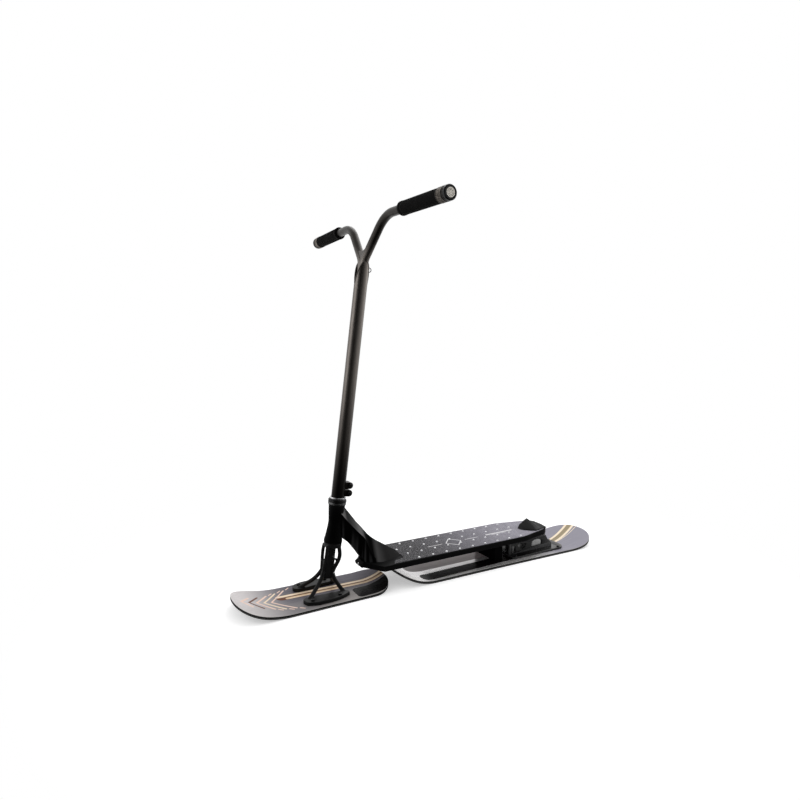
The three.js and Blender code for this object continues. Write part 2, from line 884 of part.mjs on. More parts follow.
// Head tube: [radius, height] up its outside, a waist between skirt and top
function headTubeOutside(extra, runOut) {
  const waist = headTubeBottom + (headTubeTop - headTubeBottom) * headTubeWaistShare;
  const skirtTop = headTubeBottom + headTubeSkirtHeight;
  const points = [
    [headTubeSkirtRadius + extra, headTubeBottom - runOut],
    [headTubeSkirtRadius + extra, skirtTop],
  ];
  const steps = 5;
  for (let i = 1; i <= steps; i++) {
    const share = 1 - i / steps;
    const flare = (headTubeSkirtRadius - headTubeWaistRadius) * share ** headTubeFlareShare;
    points.push([headTubeWaistRadius + flare + extra, waist + (skirtTop - waist) * share]);
  }
  points.push([headTubeTopRadius + extra, headTubeTop]);
  if (runOut) points.push([headTubeTopRadius + extra, headTubeTop + runOut]);
  return points;
}

const lowerSeatTop = headTubeBottom + crownRaceHeight + bearingHeight + 2 * gap;

function addHeadTube() {
  const outside = headTubeOutside(0, 0);
  const inside = [
    [cupSpigotRadius + gap, headTubeTop],
    [cupSpigotRadius + gap, headTubeTop - cupSpigotDepth - gap],
    [headTubeBore, headTubeTop - cupSpigotDepth - runningGap],
    [headTubeBore, lowerSeatTop],
    [bearingRadius + gap, lowerSeatTop],
    [bearingRadius + gap, headTubeBottom],
  ];
  const profile = [...outside, ...inside, outside[0]];
  piece("head_tube", turned(profile, fineSides), satinBlack, steering);
}

// Neck: a ridged box from head tube to deck, here one lofted solid. Each station: its place
// along the neck; ridge, shoulder and underside heights; shoulder, ridge and foot half widths
const neckStationShares = [
  [0, 1, 0.95, 0.527, 0.79, 0.2, 0.38],
  [0.11, 0.987, 0.779, 0.419, 1, 0.2, 0.38],
  [0.188, 0.87, 0.678, 0.343, 1, 0.2, 0.38],
  [0.297, 0.703, 0.539, 0.179, 1, 0.2, 0.38],
  [0.369, 0.609, 0.457, 0.059, 1, 0.22, 0.42],
  [0.408, 0.552, 0.394, 0, 1, 0.23, 1.02],
  [0.474, 0.46, 0.192, 0, 1.12, 0.25, 1.25],
  [0.535, 0.394, 0.072, 0, 1.28, 0.27, 1.5],
  [0.639, 0.299, 0.034, 0, 1.5, 0.3, 1.75],
  [0.777, 0.198, 0.022, 0, 1.5, 0.3, 1.65],
  [0.91, 0.104, 0.016, 0, 1.25, 0.29, 1.38],
  [1, 0.028, 0.012, 0, 0.8, 0.27, 0.85],
];

function addNeck() {
  const bottom = deckTop + gap;
  const rise = neckHeight - bottom;
  const rings = neckStationShares.map((station) => {
    const [along, ridge, shoulder, under, shoulderHalf, ridgeHalf, footHalf] = station;
    const x = neckStart + neckLength * along;
    return [
      vec(x, -neckHalfWidth * footHalf, bottom + rise * under),
      vec(x, neckHalfWidth * footHalf, bottom + rise * under),
      vec(x, neckHalfWidth * shoulderHalf, bottom + rise * shoulder),
      vec(x, neckHalfWidth * ridgeHalf, bottom + rise * ridge),
      vec(x, -neckHalfWidth * ridgeHalf, bottom + rise * ridge),
      vec(x, -neckHalfWidth * shoulderHalf, bottom + rise * shoulder),
    ];
  });
  const outside = headTubeOutside(gap, neckHalfWidth);
  const [low, high] = [headTubeBottom - neckHalfWidth, headTubeTop + neckHalfWidth];
  const socket = turned([[0, low], ...outside, [0, high]], fineSides).rotateY(lean);
  piece("neck", cut(loft(rings), socket), satinBlack);
}

// Cap on the deck's front end, bevelled on top, with one screw
function addNoseCap() {
  const back = deckFront - gap;
  const height = deckBottom + noseScrewRise;
  const outline = [
    [back, deckBottom + gap],
    [back, deckTop - gap],
    [deckFront - noseCapDepth, deckTop - noseCapBevel],
    [deckFront - noseCapDepth + noseCapRake, deckBottom + gap],
  ];
  const face = deckFront - noseCapDepth + noseScrewSink;
  const across = (geometry) => geometry.rotateY(-Math.PI / 2).translate(0, 0, height);
  const hole = across(screwHole(-back - overrun, -face + overrun));
  const sink = across(headHole(-face, -face + noseCapDepth, gap));
  piece("nose_cap", cut(sidePlate(outline, -noseHalfWidth, noseHalfWidth), hole, sink), rubber);
  const body = screw(screwRadius, noseScrewLength, screwHeadRadius, screwHeadHeight);
  const bolt = piece("nose_cap_screw", body, steel);
  bolt.rotation.y = -Math.PI / 2;
  bolt.position.set(face - gap, 0, height);
}

// Headset, from the crown race up to the spacer ring under the bar
function bearing(name, bottom) {
  const top = bottom + bearingHeight - gap;
  const outer = ring(bearingRadius - raceWall, bearingRadius, bottom, top, fineSides);
  const inner = ring(innerRace, innerRace + raceWall, bottom, top, fineSides);
  piece(name + "_outer", outer, steel, steering);
  piece(name + "_inner", inner, steel, steering);
}

function addHeadset() {
  const race = [
    [innerRace, crownTop + gap],
    [crownRaceRadius + runningGap, crownTop + gap],
    [crownRaceRadius, crownTop + gap + crownRaceHeight],
    [innerRace, crownTop + gap + crownRaceHeight],
    [innerRace, crownTop + gap],
  ];
  piece("crown_race", turned(race, fineSides), steel, steering);
  bearing("lower_bearing", lowerBearingBottom);
  bearing("upper_bearing", upperBearingBottom);
  const cup = [
    [cupSpigotRadius - raceWall, headTubeTop - cupSpigotDepth],
    [cupSpigotRadius, headTubeTop - cupSpigotDepth],
    [cupSpigotRadius, headTubeTop + gap],
    [cupFlangeRadius, headTubeTop + gap],
    [cupFlangeRadius, cupTop - gap],
    [cupFlangeRadius - gap, cupTop],
    [bearingRadius + gap, cupTop],
    [bearingRadius + gap, upperBearingBottom - gap],
    [cupSpigotRadius - raceWall, upperBearingBottom - gap],
    [cupSpigotRadius - raceWall, headTubeTop - cupSpigotDepth],
  ];
  piece("headset_cup", turned(cup, fineSides), steel, steering);
  const wedgeTop = capBottom + capHeight / 2;
  const recessTop = upperBearingBottom + bearingHeight + gap;
  const cap = [
    [bearingRadius + runningGap, capBottom],
    [capRadius - runningGap, capBottom],
    [capRadius, capBottom + runningGap],
    [capRadius, capTop - runningGap],
    [capRadius - runningGap, capTop],
    [innerRace, capTop],
    [innerRace, wedgeTop + gap],
    [innerRace + raceWall + gap, wedgeTop + gap],
    [innerRace + raceWall + gap, recessTop],
    [bearingRadius + runningGap, recessTop],
    [bearingRadius + runningGap, capBottom],
  ];
  piece("headset_cap", turned(cap, fineSides), darkSteel, steering);
  const wedgeBottom = upperBearingBottom + bearingHeight;
  const wedge = ring(innerRace, innerRace + raceWall, wedgeBottom, wedgeTop, fineSides);
  piece("compression_ring", wedge, darkSteel, steering);
  const spacer = ring(innerRace, spacerRadius, spacerBottom, spacerTop, fineSides);
  piece("spacer_ring", spacer, steel, steering);
}

// Steerer tube with its shim, star nut, washer and compression bolt
const shimTop = barBottom + shimHeight;
const steererTop = shimTop - steererBelowShim;
const steererBottom = crownTop - steererInCrown;

function addSteerer() {
  const tube = ring(steererBore, steererRadius, steererBottom, steererTop, fineSides);
  piece("steerer_tube", tube, darkSteel, steering);
  const shim = ring(innerRace, shimOuter, barBottom, shimTop, fineSides);
  piece("bar_shim", shim, steel, steering);
  const washerBottom = shimTop + gap;
  const washerTop = washerBottom + washerHeight;
  const washer = ring(washerBoltRadius, shimOuter, washerBottom, washerTop, fineSides);
  piece("compression_washer", washer, darkSteel, steering);
  const headRadius = washerBoltRadius + washerHeight;
  const bolt = screw(washerBoltRadius - gap, compressionBoltLength, headRadius, washerHeight + gap);
  piece("compression_bolt", bolt, steel, steering).position.z = washerTop + gap;
  const nutTop = washerTop + gap - compressionBoltLength + starNutHeight + starFlange;
  const nutBottom = nutTop - starNutHeight;
  const star = steererBore - gap;
  const core = washerBoltRadius + washerHeight;
  const nut = [
    [washerBoltRadius, nutBottom],
    [star, nutBottom],
    [star, nutBottom + starFlange],
    [core, nutBottom + starFlange],
    [core, nutTop - starFlange],
    [star, nutTop - starFlange],
    [star, nutTop],
    [washerBoltRadius, nutTop],
    [washerBoltRadius, nutBottom],
  ];
  piece("star_nut", turned(nut, fineSides), steel, steering);
}

// Handlebar arm: out of the tube, out in a straight line, level, then swept back to the grip
const spread = THREE.MathUtils.degToRad(armSpreadDegrees);
const sweep = THREE.MathUtils.degToRad(handSweepDegrees);
const drop = THREE.MathUtils.degToRad(handDropDegrees);
const lineStart = [
  armInset + armLowerBend * (1 - Math.cos(spread)),
  barFork + armLowerBend * Math.sin(spread),
];
const bendCentreHeight = armHeight - armUpperBend;
const lineEndHeight = bendCentreHeight + armUpperBend * Math.sin(spread);
const armLineOut = (height) => lineStart[0] + (height - lineStart[1]) * Math.tan(spread);
const handStart = armLineOut(lineEndHeight) + armUpperBend * Math.cos(spread);
const handDirection = (side) =>
  vec(Math.sin(sweep), side * Math.cos(sweep) * Math.cos(drop), -Math.sin(drop)).normalize();
const gripEnd = handLength + gripLength;
const ringEnd = gripEnd + gap + ringLength;

function armPoints(side, startHeight, endLength) {
  const points = [vec(0, side * armInset, startHeight)];
  for (let i = 0; i <= armSteps; i++) {
    const angle = (spread * i) / armSteps;
    const out = armInset + armLowerBend * (1 - Math.cos(angle));
    points.push(vec(0, side * out, barFork + armLowerBend * Math.sin(angle)));
  }
  for (let i = 0; i <= armSteps; i++) {
    const angle = spread + ((Math.PI / 2 - spread) * i) / armSteps;
    const out = handStart - armUpperBend * Math.cos(angle);
    points.push(vec(0, side * out, bendCentreHeight + armUpperBend * Math.sin(angle)));
  }
  const hand = points[points.length - 1];
  points.push(hand.clone().addScaledVector(handDirection(side), handLength / 2));
  points.push(hand.clone().addScaledVector(handDirection(side), endLength));
  return points;
}

// An outline of [y, z] points drawn out along X
function frontPlate(outline, x0, x1) {
  const turn = new THREE.Matrix4().set(0, 0, 1, 0, 1, 0, 0, 0, 0, 1, 0, 0, 0, 0, 0, 1);
  return plate(outline, x0, x1).applyMatrix4(turn);
}

function crossRod(radius, x, z, half) {
  return rod(radius, -half, half, smallSides).rotateX(Math.PI / 2).translate(x, 0, z);
}

const armEnd = ringEnd - runningGap;
const armBore = armRadius - armWall;

function addHandlebar() {
  const armStart = barNotchStart - armRadius;
  const tube = rod(barRadius, barBottom, barTubeTop, fineSides);
  const bore = rod(barRadius - barWall, barBottom - overrun, barTubeTop + overrun, fineSides);
  const notch = [
    [0, barNotchStart],
    [barRadius, barTubeTop + overrun],
    [-barRadius, barTubeTop + overrun],
  ];
  const ears = earHeights.flatMap((height) => {
    const round = earHeight / 2;
    return [
      block(0, earReach - round, -earHalfWidth, earHalfWidth, height - round, height + round),
      crossRod(round, earReach - round, height, earHalfWidth),
    ];
  });
  const notchTool = frontPlate(notch, -barRadius - overrun, barRadius + overrun);
  const foot = cut(join(tube, ...ears), bore, notchTool);
  const arms = [-1, 1].map((side) =>
    limb(armPoints(side, armStart, armEnd), () => armRadius, roundSides),
  );
  const bores = [-1, 1].map((side) =>
    limb(armPoints(side, armStart - overrun, armEnd + overrun), () => armBore, boreSides),
  );
  const topHalf = armLineOut(gussetHeight) - armRadius / Math.cos(spread) + armWall;
  const gusset = frontPlate(
    [
      [0, barFork],
      [topHalf + armWall, gussetHeight - armWall],
      [topHalf, gussetHeight],
      [topHalf / 2, gussetHeight - gussetSag],
      [-topHalf / 2, gussetHeight - gussetSag],
      [-topHalf, gussetHeight],
      [-topHalf - armWall, gussetHeight - armWall],
    ],
    -gussetHalfDepth,
    gussetHalfDepth,
  );
  const slit = block(
    0,
    earReach + overrun,
    -slitWidth / 2,
    slitWidth / 2,
    barBottom - overrun,
    barBottom + slitHeight,
  );
  const boltHoles = earHeights.map((height) =>
    crossRod(pinchBoltRadius + gap, earBoltOffset, height, earHalfWidth + overrun),
  );
  const bar = cut(join(foot, ...arms, gusset), ...bores, slit, ...boltHoles);
  piece("handlebar", bar, gunmetal, steering);
}

function addPinchBolts() {
  earHeights.forEach((height, i) => {
    const place = i ? "upper" : "lower";
    const length = 2 * earHalfWidth + 2 * gap + pinchNutHeight + runningGap;
    const bolt = piece(
      "pinch_bolt_" + place,
      screw(pinchBoltRadius, length, pinchHeadRadius, pinchHeadHeight),
      steel,
      steering,
    );
    bolt.rotation.x = Math.PI / 2;
    bolt.position.set(earBoltOffset, -earHalfWidth - gap, height);
    const nut = piece(
      "pinch_nut_" + place,
      cut(
        rod(pinchNutRadius, 0, pinchNutHeight, hexSides),
        rod(pinchBoltRadius + gap, -overrun, pinchNutHeight + overrun, smallSides),
      ),
      steel,
      steering,
    );
    nut.rotation.x = -Math.PI / 2;
    nut.position.set(earBoltOffset, earHalfWidth + gap, height);
  });
}

// Leash eye: a bent wire whose ends are welded between the two arms, at their back
function addLeashEye() {
  const foot = Math.sqrt(armRadius ** 2 - (armInset - eyeWireRadius) ** 2) + gap;
  const out = eyeReach - eyeWireRadius;
  const half = eyeHeight / 2;
  const points = [
    vec(foot, 0, eyeCentreHeight - half),
    vec((foot + out) / 2, 0, eyeCentreHeight - half),
    vec(out, 0, eyeCentreHeight - half / 2),
    vec(out, 0, eyeCentreHeight + half / 2),
    vec((foot + out) / 2, 0, eyeCentreHeight + half),
    vec(foot, 0, eyeCentreHeight + half),
  ];
  const wire = limb(smooth(points, eyeSteps), () => eyeWireRadius, smallSides, vec(0, 1, 0));
  piece("leash_eye", wire, darkSteel, steering);
}

// Grip, knurled ring and end cap on one arm, placed by distance along the hand section
function addHand(name, side) {
  const hand = new THREE.Group();
  hand.position.set(0, side * handStart, armHeight);
  hand.quaternion.setFromUnitVectors(vec(0, 0, 1), handDirection(side));
  steering.add(hand);
  const bore = armRadius + gap;
  const start = handLength;
  const end = gripEnd;
  const grip = [
    [bore, start],
    [gripRadius - runningGap, start],
    [gripRadius, start + runningGap],
    [gripRadius, start + gripFlangeWidth],
    [gripNeckRadius, start + gripFlangeWidth + runningGap],
    [gripNeckRadius, start + 2 * gripFlangeWidth],
    [gripRadius - runningGap, start + 3 * gripFlangeWidth],
    [gripRadius - runningGap, end],
    [bore, end],
    [bore, start],
  ];
  piece("grip_" + name, turned(grip), rubber, hand);
  const ringStart = end + gap;
  const knurled = [
    [bore, ringStart],
    [ringRadius - runningGap, ringStart],
    [ringRadius, ringStart + runningGap],
    [ringRadius, ringEnd - runningGap],
    [ringRadius - runningGap, ringEnd],
    [bore, ringEnd],
    [bore, ringStart],
  ];
  piece("bar_end_ring_" + name, turned(knurled), bronze, hand);
  const capStart = ringEnd + gap;
  const capEnd = capStart + endCapLength;
  const spigot = armBore - 2 * gap;
  const cap = [
    [0, capStart - endCapSpigot],
    [spigot, capStart - endCapSpigot],
    [spigot, capStart],
    [endCapRadius, capStart],
    [endCapRadius, capEnd - 2 * runningGap],
    [endCapRadius - 2 * runningGap, capEnd],
    [0, capEnd],
  ];
  piece("bar_end_cap_" + name, turned(cap), bronze, hand);
}

// Bowed fork arms, crown to web: offset and side as shares of the crown radius, height as a
// share of the way from web to crown
const rearArmShares = [
  [0.51, 0.62, 1],
  [0.58, 0.8, 0.8],
  [0.61, 0.87, 0.63],
  [0.57, 0.8, 0.47],
  [0.48, 0.56, 0.28],
  [0.37, 0.36, 0.12],
  [0.27, 0.24, -0.06],
];
const frontArmShares = [
  [-0.8, 0.5, 1],
  [-0.84, 0.58, 0.78],
  [-0.85, 0.57, 0.56],
  [-0.86, 0.45, 0.33],
  [-0.88, 0.33, 0.14],
  [-0.88, 0.26, 0],
];

// Legs, web to foot: along, out and up as shares of the foot's place and the web's height
const frontLegShares = [
  [0.19, 0.16, 1],
  [0.33, 0.33, 0.7],
  [0.5, 0.51, 0.45],
  [0.69, 0.72, 0.25],
  [0.89, 0.92, 0.05],
  [1, 1, -0.05],
];
const rearLegShares = [
  [0.45, 0.12, 0.78],
  [0.52, 0.31, 0.5],
  [0.66, 0.5, 0.31],
  [0.81, 0.72, 0.12],
  [1, 0.95, -0.06],
];

// The web between the arms, up to the crown, seen from the side: offset and height as above
const webOutlineShares = [
  [-0.9, -0.34],
  [-0.9, 0.38],
  [-0.6, 0.47],
  [-0.57, 0.78],
  [-0.75, 0.9],
  [-0.75, 1],
  [0.16, 1],
  [0.14, 0.6],
  [0.12, 0.2],
  [0.35, 0],
  [0.3, -0.34],
];

// A foot rail seen from above: shares of its length, and of its width from the inner edge
const railOutlineShares = [
  [0, 0.24],
  [0.04, 0.76],
  [0.25, 1],
  [0.48, 1],
  [0.63, 0.95],
  [0.81, 0.8],
  [0.98, 0.52],
  [0.95, 0.24],
  [0.78, 0.12],
  [0.42, 0.07],
  [0.21, -0.02],
  [0.08, 0.02],
];

function addFork() {
  const crown = turned(
    [
      [0, crownTop - crownHeight],
      [crownRadius - 2 * runningGap, crownTop - crownHeight],
      [crownRadius, crownTop - crownHeight + 2 * runningGap],
      [crownRadius, crownTop - runningGap],
      [crownRadius - runningGap, crownTop],
      [0, crownTop],
    ],
    fineSides,
  );
  const crownBore = rod(innerRace, steererBottom - gap, crownTop + overrun, fineSides).rotateY(lean);
  const armTop = crownTop - crownHeight / 2;
  const alongArm = (share) => webTop + (armTop - webTop) * share;
  const bowed = (shares, radius) =>
    [-1, 1].map((side) => {
      const places = shares.map(([offset, out, up]) =>
        vec(offset * crownRadius, side * out * crownRadius, alongArm(up)),
      );
      return limb(smooth(places, forkArmSteps), () => radius, smallSides);
    });
  const web = sidePlate(
    webOutlineShares.map(([offset, up]) => [offset * crownRadius, alongArm(up)]),
    -webHalfWidth,
    webHalfWidth,
  );
  const linkPoints = [-1, 0, 1].map((side) => {
    const back = side ? linkEndShare : linkMiddleShare;
    return vec(crownRadius * back, crownRadius * side * linkSpanShare, linkHeight);
  });
  const link = limb(linkPoints, () => linkRadius, hexSides);
  const leaned = join(
    crown,
    web,
    link,
    ...bowed(rearArmShares, forkRearArmRadius),
    ...bowed(frontArmShares, forkArmRadius),
  ).rotateY(lean);
  const splayed = (shares, foot, span) =>
    [-1, 1].map((side) => {
      const places = shares.map(([along, out, up]) =>
        vec(foot * along, side * span * out, railTop + (webTop - railTop) * up),
      );
      const radiusAt = (share) => legTopRadius + (legFootRadius - legTopRadius) * share;
      return limb(smooth(places, legSteps), radiusAt, smallSides);
    });
  const rails = [-1, 1].map((side) => {
    const outline = railOutlineShares.map(([along, across]) => [
      -railAhead + (railAhead + railBehind) * along,
      side * (railInner + (railOuter - railInner) * across),
    ]);
    return plate(outline, railBottom, railTop);
  });
  const holes = footPlaces.map(([, x, y]) =>
    rod(footBoltRadius + gap, railBottom - overrun, railTop + overrun, smallSides).translate(x, y, 0),
  );
  const whole = join(
    leaned,
    ...splayed(frontLegShares, -frontFoot, footSpan),
    ...splayed(rearLegShares, rearFoot, footSpan),
    ...rails,
  );
  piece("fork", cut(whole, crownBore, ...holes), satinBlack);
}

const basePlaceNames = ["front_left", "front_right", "back_left", "back_right"];
const baseBoltRows = [mountPlateFront + baseBoltInset, mountPlateEnd - 2 * baseBoltInset];
const baseBoltPlaces = baseBoltRows.flatMap((x) =>
  [-1, 1].map((side) => [x, side * (mountPlateHalfWidth - baseBoltEdge)]),
);
const riserMiddle = riserFront + riserLength / 2;
const riserBoltPlaces = [-1, 1].map((side) => [riserMiddle, (side * riserHalfWidth) / 2]);

addFrontBoard();
addRearBoard([...baseBoltPlaces, ...riserBoltPlaces]);
addDeck();
addStudPlate();
addFootStop();
addRearMount(baseBoltPlaces);
addRiser(riserBoltPlaces);
addHeadTube();
addNeck();
addNoseCap();
addHeadset();
addSteerer();
addHandlebar();
addPinchBolts();
addLeashEye();
addHand("left", -1);
addHand("right", 1);
addFork();

export default scooter;
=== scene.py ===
import json
import math

import bmesh
import bpy
from mathutils import Matrix, Vector


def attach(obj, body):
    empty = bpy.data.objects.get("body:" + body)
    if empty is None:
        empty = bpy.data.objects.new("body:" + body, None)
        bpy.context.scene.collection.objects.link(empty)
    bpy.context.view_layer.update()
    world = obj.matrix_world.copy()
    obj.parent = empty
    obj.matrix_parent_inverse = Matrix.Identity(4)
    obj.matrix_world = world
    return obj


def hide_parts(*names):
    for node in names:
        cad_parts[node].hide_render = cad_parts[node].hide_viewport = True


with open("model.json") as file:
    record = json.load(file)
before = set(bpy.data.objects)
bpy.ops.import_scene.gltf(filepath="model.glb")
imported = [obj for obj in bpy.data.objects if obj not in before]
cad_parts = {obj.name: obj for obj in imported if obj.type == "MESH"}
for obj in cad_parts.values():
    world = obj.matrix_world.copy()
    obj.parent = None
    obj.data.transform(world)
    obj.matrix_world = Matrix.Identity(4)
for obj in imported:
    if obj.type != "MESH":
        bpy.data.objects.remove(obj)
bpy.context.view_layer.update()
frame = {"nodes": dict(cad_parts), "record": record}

# Lengths are millimetres from the foot of the steering axis: x to the tail, y to the rider's
# right, z up from the snow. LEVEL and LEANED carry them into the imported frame, in metres.
MM = 0.001
AXIS_FOOT_X = -334.55
LEAN = math.radians(7.3)
LEVEL = Matrix.Translation((AXIS_FOOT_X * MM, 0, 0)) @ Matrix.Scale(MM, 4)
LEANED = LEVEL @ Matrix.Rotation(LEAN, 4, "Y")

# GAP keeps neighbours apart, OVERRUN carries a cutting tool past what it cuts
GAP = 0.3
OVERRUN = 3.0

# Headset, heights along the leaned axis
CROWN_TOP = 140.4
HEAD_BOTTOM = 141.4
HEAD_TOP = 242.3
HEAD_TOP_RADIUS = 22.2
HEAD_WAIST_RADIUS = 17.8
HEAD_WAIST_SHARE = 0.57
HEAD_WAIST_CURVE = 1.6
HEAD_SKIRT_RADIUS = 24.4
HEAD_SKIRT_HEIGHT = 5.5
HEAD_BORE = 16.2
HEAD_MOUTH = 3.0
HEAD_SEAT_RADIUS = HEAD_BORE + 5
HEAD_SEAT_DEPTH = 9.0
CUP_RADIUS = 24.0
CUP_BORE = 16.6
CUP_TOP = 248.6
CAP_RADIUS = 24.3
CAP_TOP = 257.7
CAP_GROOVE = 0.6
SPACER_RADIUS = 21.3
SPACER_TOP = 262.2
STEERER_RADIUS = 14.3

# Bar: tube, arms, web between them and pinch ears, heights along the leaned axis
BAR_BOTTOM = 262.5
BAR_RADIUS = 17.45
BAR_FOOT_BEVEL = 0.5
BAR_NOTCH = 822.0
BAR_TUBE_TOP = 879.0
NOTCH_HALF = BAR_RADIUS + 1
NOTCH_TOP = BAR_TUBE_TOP + 6.4
ARM_RADIUS = 11.1
ARM_FORK = 866.0
ARM_INSET = 5.5
ARM_LOWER_BEND = 40.0
ARM_UPPER_BEND = 88.0
ARM_SPREAD = math.radians(42.4)
ARM_HEIGHT = 982.8
HAND_SWEEP = math.radians(2)
HAND_DROP = math.radians(0.4)
GUSSET_BOTTOM = ARM_FORK - 10
GUSSET_TOP = 909.0
GUSSET_HALF_DEPTH = 8.0
GUSSET_SINK = 1.5
EAR_HEIGHTS = (273.5, 293.8)
EAR_SIZE = 17.5
EAR_REACH = 36.0
EAR_HALF_WIDTH = 11.0
EAR_BOLT_X = 26.5
SLIT_WIDTH = 2.6
SLIT_HEIGHT = 68.0
WELD_HALF = 0.96 * BAR_RADIUS
WELD_RADIUS = 1.5
WELD_PITCH = 1.6
EYE_WIRE = 1.05
EYE_REACH = 24.35
EYE_HALF_HEIGHT = 6.5
EYE_CENTRE = 862.0
EYE_SINK = 0.4

# Grips, bar-end rings and caps: places across the bar, then sizes along the hand
GRIP_START = 183.2
GRIP_END = 337.0
RING_END = 365.0
BAR_HALF_WIDTH = 373.2
HAND_BORE = ARM_RADIUS + 0.15
HAND_SIDES = 72
GRIP_RADIUS = 17.0
GRIP_COLLAR = 6.4
GRIP_NECK = 15.2
GRIP_RIB = 16.4
GRIP_GROOVE = 15.9
GRIP_RIBS_START = 15.0
GRIP_RIBS_END = 3.2
GRIP_RIB_PITCH = 3.1
RING_RADIUS = 17.1
RING_RIM = RING_RADIUS - 0.2
RING_CORE = RING_RADIUS - 0.75
RING_GROOVE = RING_CORE - 1.4
KNURL_START = 4.3
KNURL_LENGTH = 14.2
KNURL_ROWS = 9
KNURL_AROUND = 44
KNURL_RADIUS = 1.55
KNURL_HEIGHT = 0.85
KNURL_SINK = 0.12
END_CAP_RADIUS = 16.6
END_RIM = 0.2
END_RECESS = 1.2
DOT_RINGS = 3
DOT_PITCH = 3.1
DOT_TURN = 0.26
DOT_RADIUS = 1.42
DOT_FLATNESS = 0.6
DOT_SINK = 0.05

# Fork: crown, arms, web, legs and rails
CROWN_RADIUS = 23.6
CROWN_HEIGHT = 12.0
CROWN_FOOT_BEVEL = 2.0
CROWN_TOP_BEVEL = 0.8
REAR_ARM_RADIUS = 5.3
FRONT_ARM_RADIUS = 4.6
WEB_TOP = 66.0
WEB_HALF_WIDTH = 5.0
LINK_HEIGHT = 97.0
LINK_RADIUS = 3.0
LEG_RADIUS = 5.6
LEG_THINNING = 0.4
LEG_SPAN = 39.0
FRONT_FOOT_X = -65.0
REAR_FOOT_X = 32.0
RAIL_BOTTOM = 8.0
RAIL_TOP = 17.3
RAIL_FRONT = -82.0
RAIL_BACK = 48.0
RAIL_INNER = 28.0
RAIL_OUTER = 70.0
RAIL_CORNER = 7.0
FORGING_GRAIN = 1.15
FORGING_SMOOTHING = 6

# Boards: start, end, nose and tail half widths, waist, nose and tail rounds, lifts and rockers
FRONT_BOARD = dict(start=-249.6, end=167.3, nose=83.7, tail=78.8, waist=0.5, nose_round=77.0,
                   tail_round=60.4, nose_lift=32.5, tail_lift=16.9, nose_rocker=132.8,
                   tail_rocker=65.7)
REAR_BOARD = dict(start=178.8, end=918.7, nose=83.1, tail=91.3, waist=1.9, nose_round=73.4,
                  tail_round=85.7, nose_lift=38.2, tail_lift=27.1, nose_rocker=115.7,
                  tail_rocker=123.1)
BOARD_ROUNDNESS = 2.37
BOARD_TIP_SHARE = 0.1
BOARD_SPACING = 5.5
BOARD_TOP = 7.5
BASE_TOP = 2.0
CORE_BOTTOM = BASE_TOP + GAP / 3
CORE_EDGE = 1.3
BASE_EDGE = 0.4
FACES_UP = 0.7

# Deck, stud plate and foot stop. The tail's shares are of its taper and of the half width, the
# plate's front shares of the half width and of the bulge. A stud row has its y and its shift in
# pitches.
DECK_TOP = 74.3
DECK_BOTTOM = 59.3
DECK_HALF = 73.7
DECK_FRONT = 98.0
DECK_FRONT_TAPER = 36.0
DECK_TAIL = 734.0
DECK_TAPER = 119.0
DECK_NOSE_HALF = 20.0
DECK_TAIL_SHARES = [(0, 1), (0.15, 0.965), (0.35, 0.87), (0.6, 0.78), (0.85, 0.66), (0.96, 0.57),
                    (1, 0.46)]
DECK_EDGE = 1.4
DECK_WALL = 6.0
DECK_ROOF = 4.5
CHANNELS = 3
CHANNEL_FRONT = 156.0
CHANNEL_BACK = 593.0
PLATE_TOP = 75.8
PLATE_FRONT = 165.05
PLATE_BULGE = 48.0
PLATE_FRONT_SHARES = [(1, 0), (0.7, 0.28), (0.66, 0.68), (0.6, 0.9), (0.45, 0.97), (0.25, 1)]
PLATE_INSET = 3.0
PLATE_EDGE = 0.4
STUD_PITCH = 45.23
STUD_START = 218.5
STUD_COLUMNS = 10
STUD_ROWS = [(-65.3, 0.6), (-25.3, 0.3), (14.7, 0), (54.7, 0.7)]
STUD_FOOT = 3.2
STUD_TIP = 2.2
STUD_HEIGHT = 3.0
STUD_SINK = 0.4
STOP_EDGE = 1.1
STOP_CENTRE = -8.0
STOP_SCREWS = (663.0, 708.0)
STOP_SCREW_SEAT = 80.9

# Neck. From its bend on, it has more rings, because its foot flares.
NECK_START = 29.85
NECK_LENGTH = 181.4
NECK_HEIGHT = 233.0
NECK_HALF = 24.0
NECK_BEND = 5
NECK_EDGE = 0.9
NECK_GAP = 0.1
SOCKET_OVERRUN = 24.0

# Screws: places, seats and sizes
FOOT_BOLTS = [(-60.0, -54.0), (-60.0, 54.0), (14.0, -54.0), (14.0, 54.0)]
BASE_BOLTS = [(590.0, -62.75), (590.0, 62.75), (764.0, -62.75), (764.0, 62.75)]
BASE_BOLT_SEAT = 13.8
FOOT_SCREW = dict(head=5.2, height=3.4, shank=3.0, length=10.0, socket=2.4)
SMALL_SCREW = dict(head=4.6, height=3.0, shank=2.5, length=8.0, socket=2.1)
PINCH_SCREW = dict(head=5.0, height=4.5, shank=3.0, length=27.0, socket=2.3)


# Shapes

CORNER_SHARE = 0.45
SPLINE_STEPS = 24


def filleted(points, radius, steps=3):
    """A closed outline with its corners rounded, each over a share of its sides at most."""
    rounded = []
    for i, here in enumerate(points):
        here = Vector(here)
        before = Vector(points[i - 1]) - here
        after = Vector(points[(i + 1) % len(points)]) - here
        reach = min(radius, CORNER_SHARE * before.length, CORNER_SHARE * after.length)
        start = here + before.normalized() * reach
        end = here + after.normalized() * reach
        for step in range(steps + 1):
            t = step / steps
            rounded.append((1 - t) ** 2 * start + 2 * t * (1 - t) * here + t**2 * end)
    return rounded


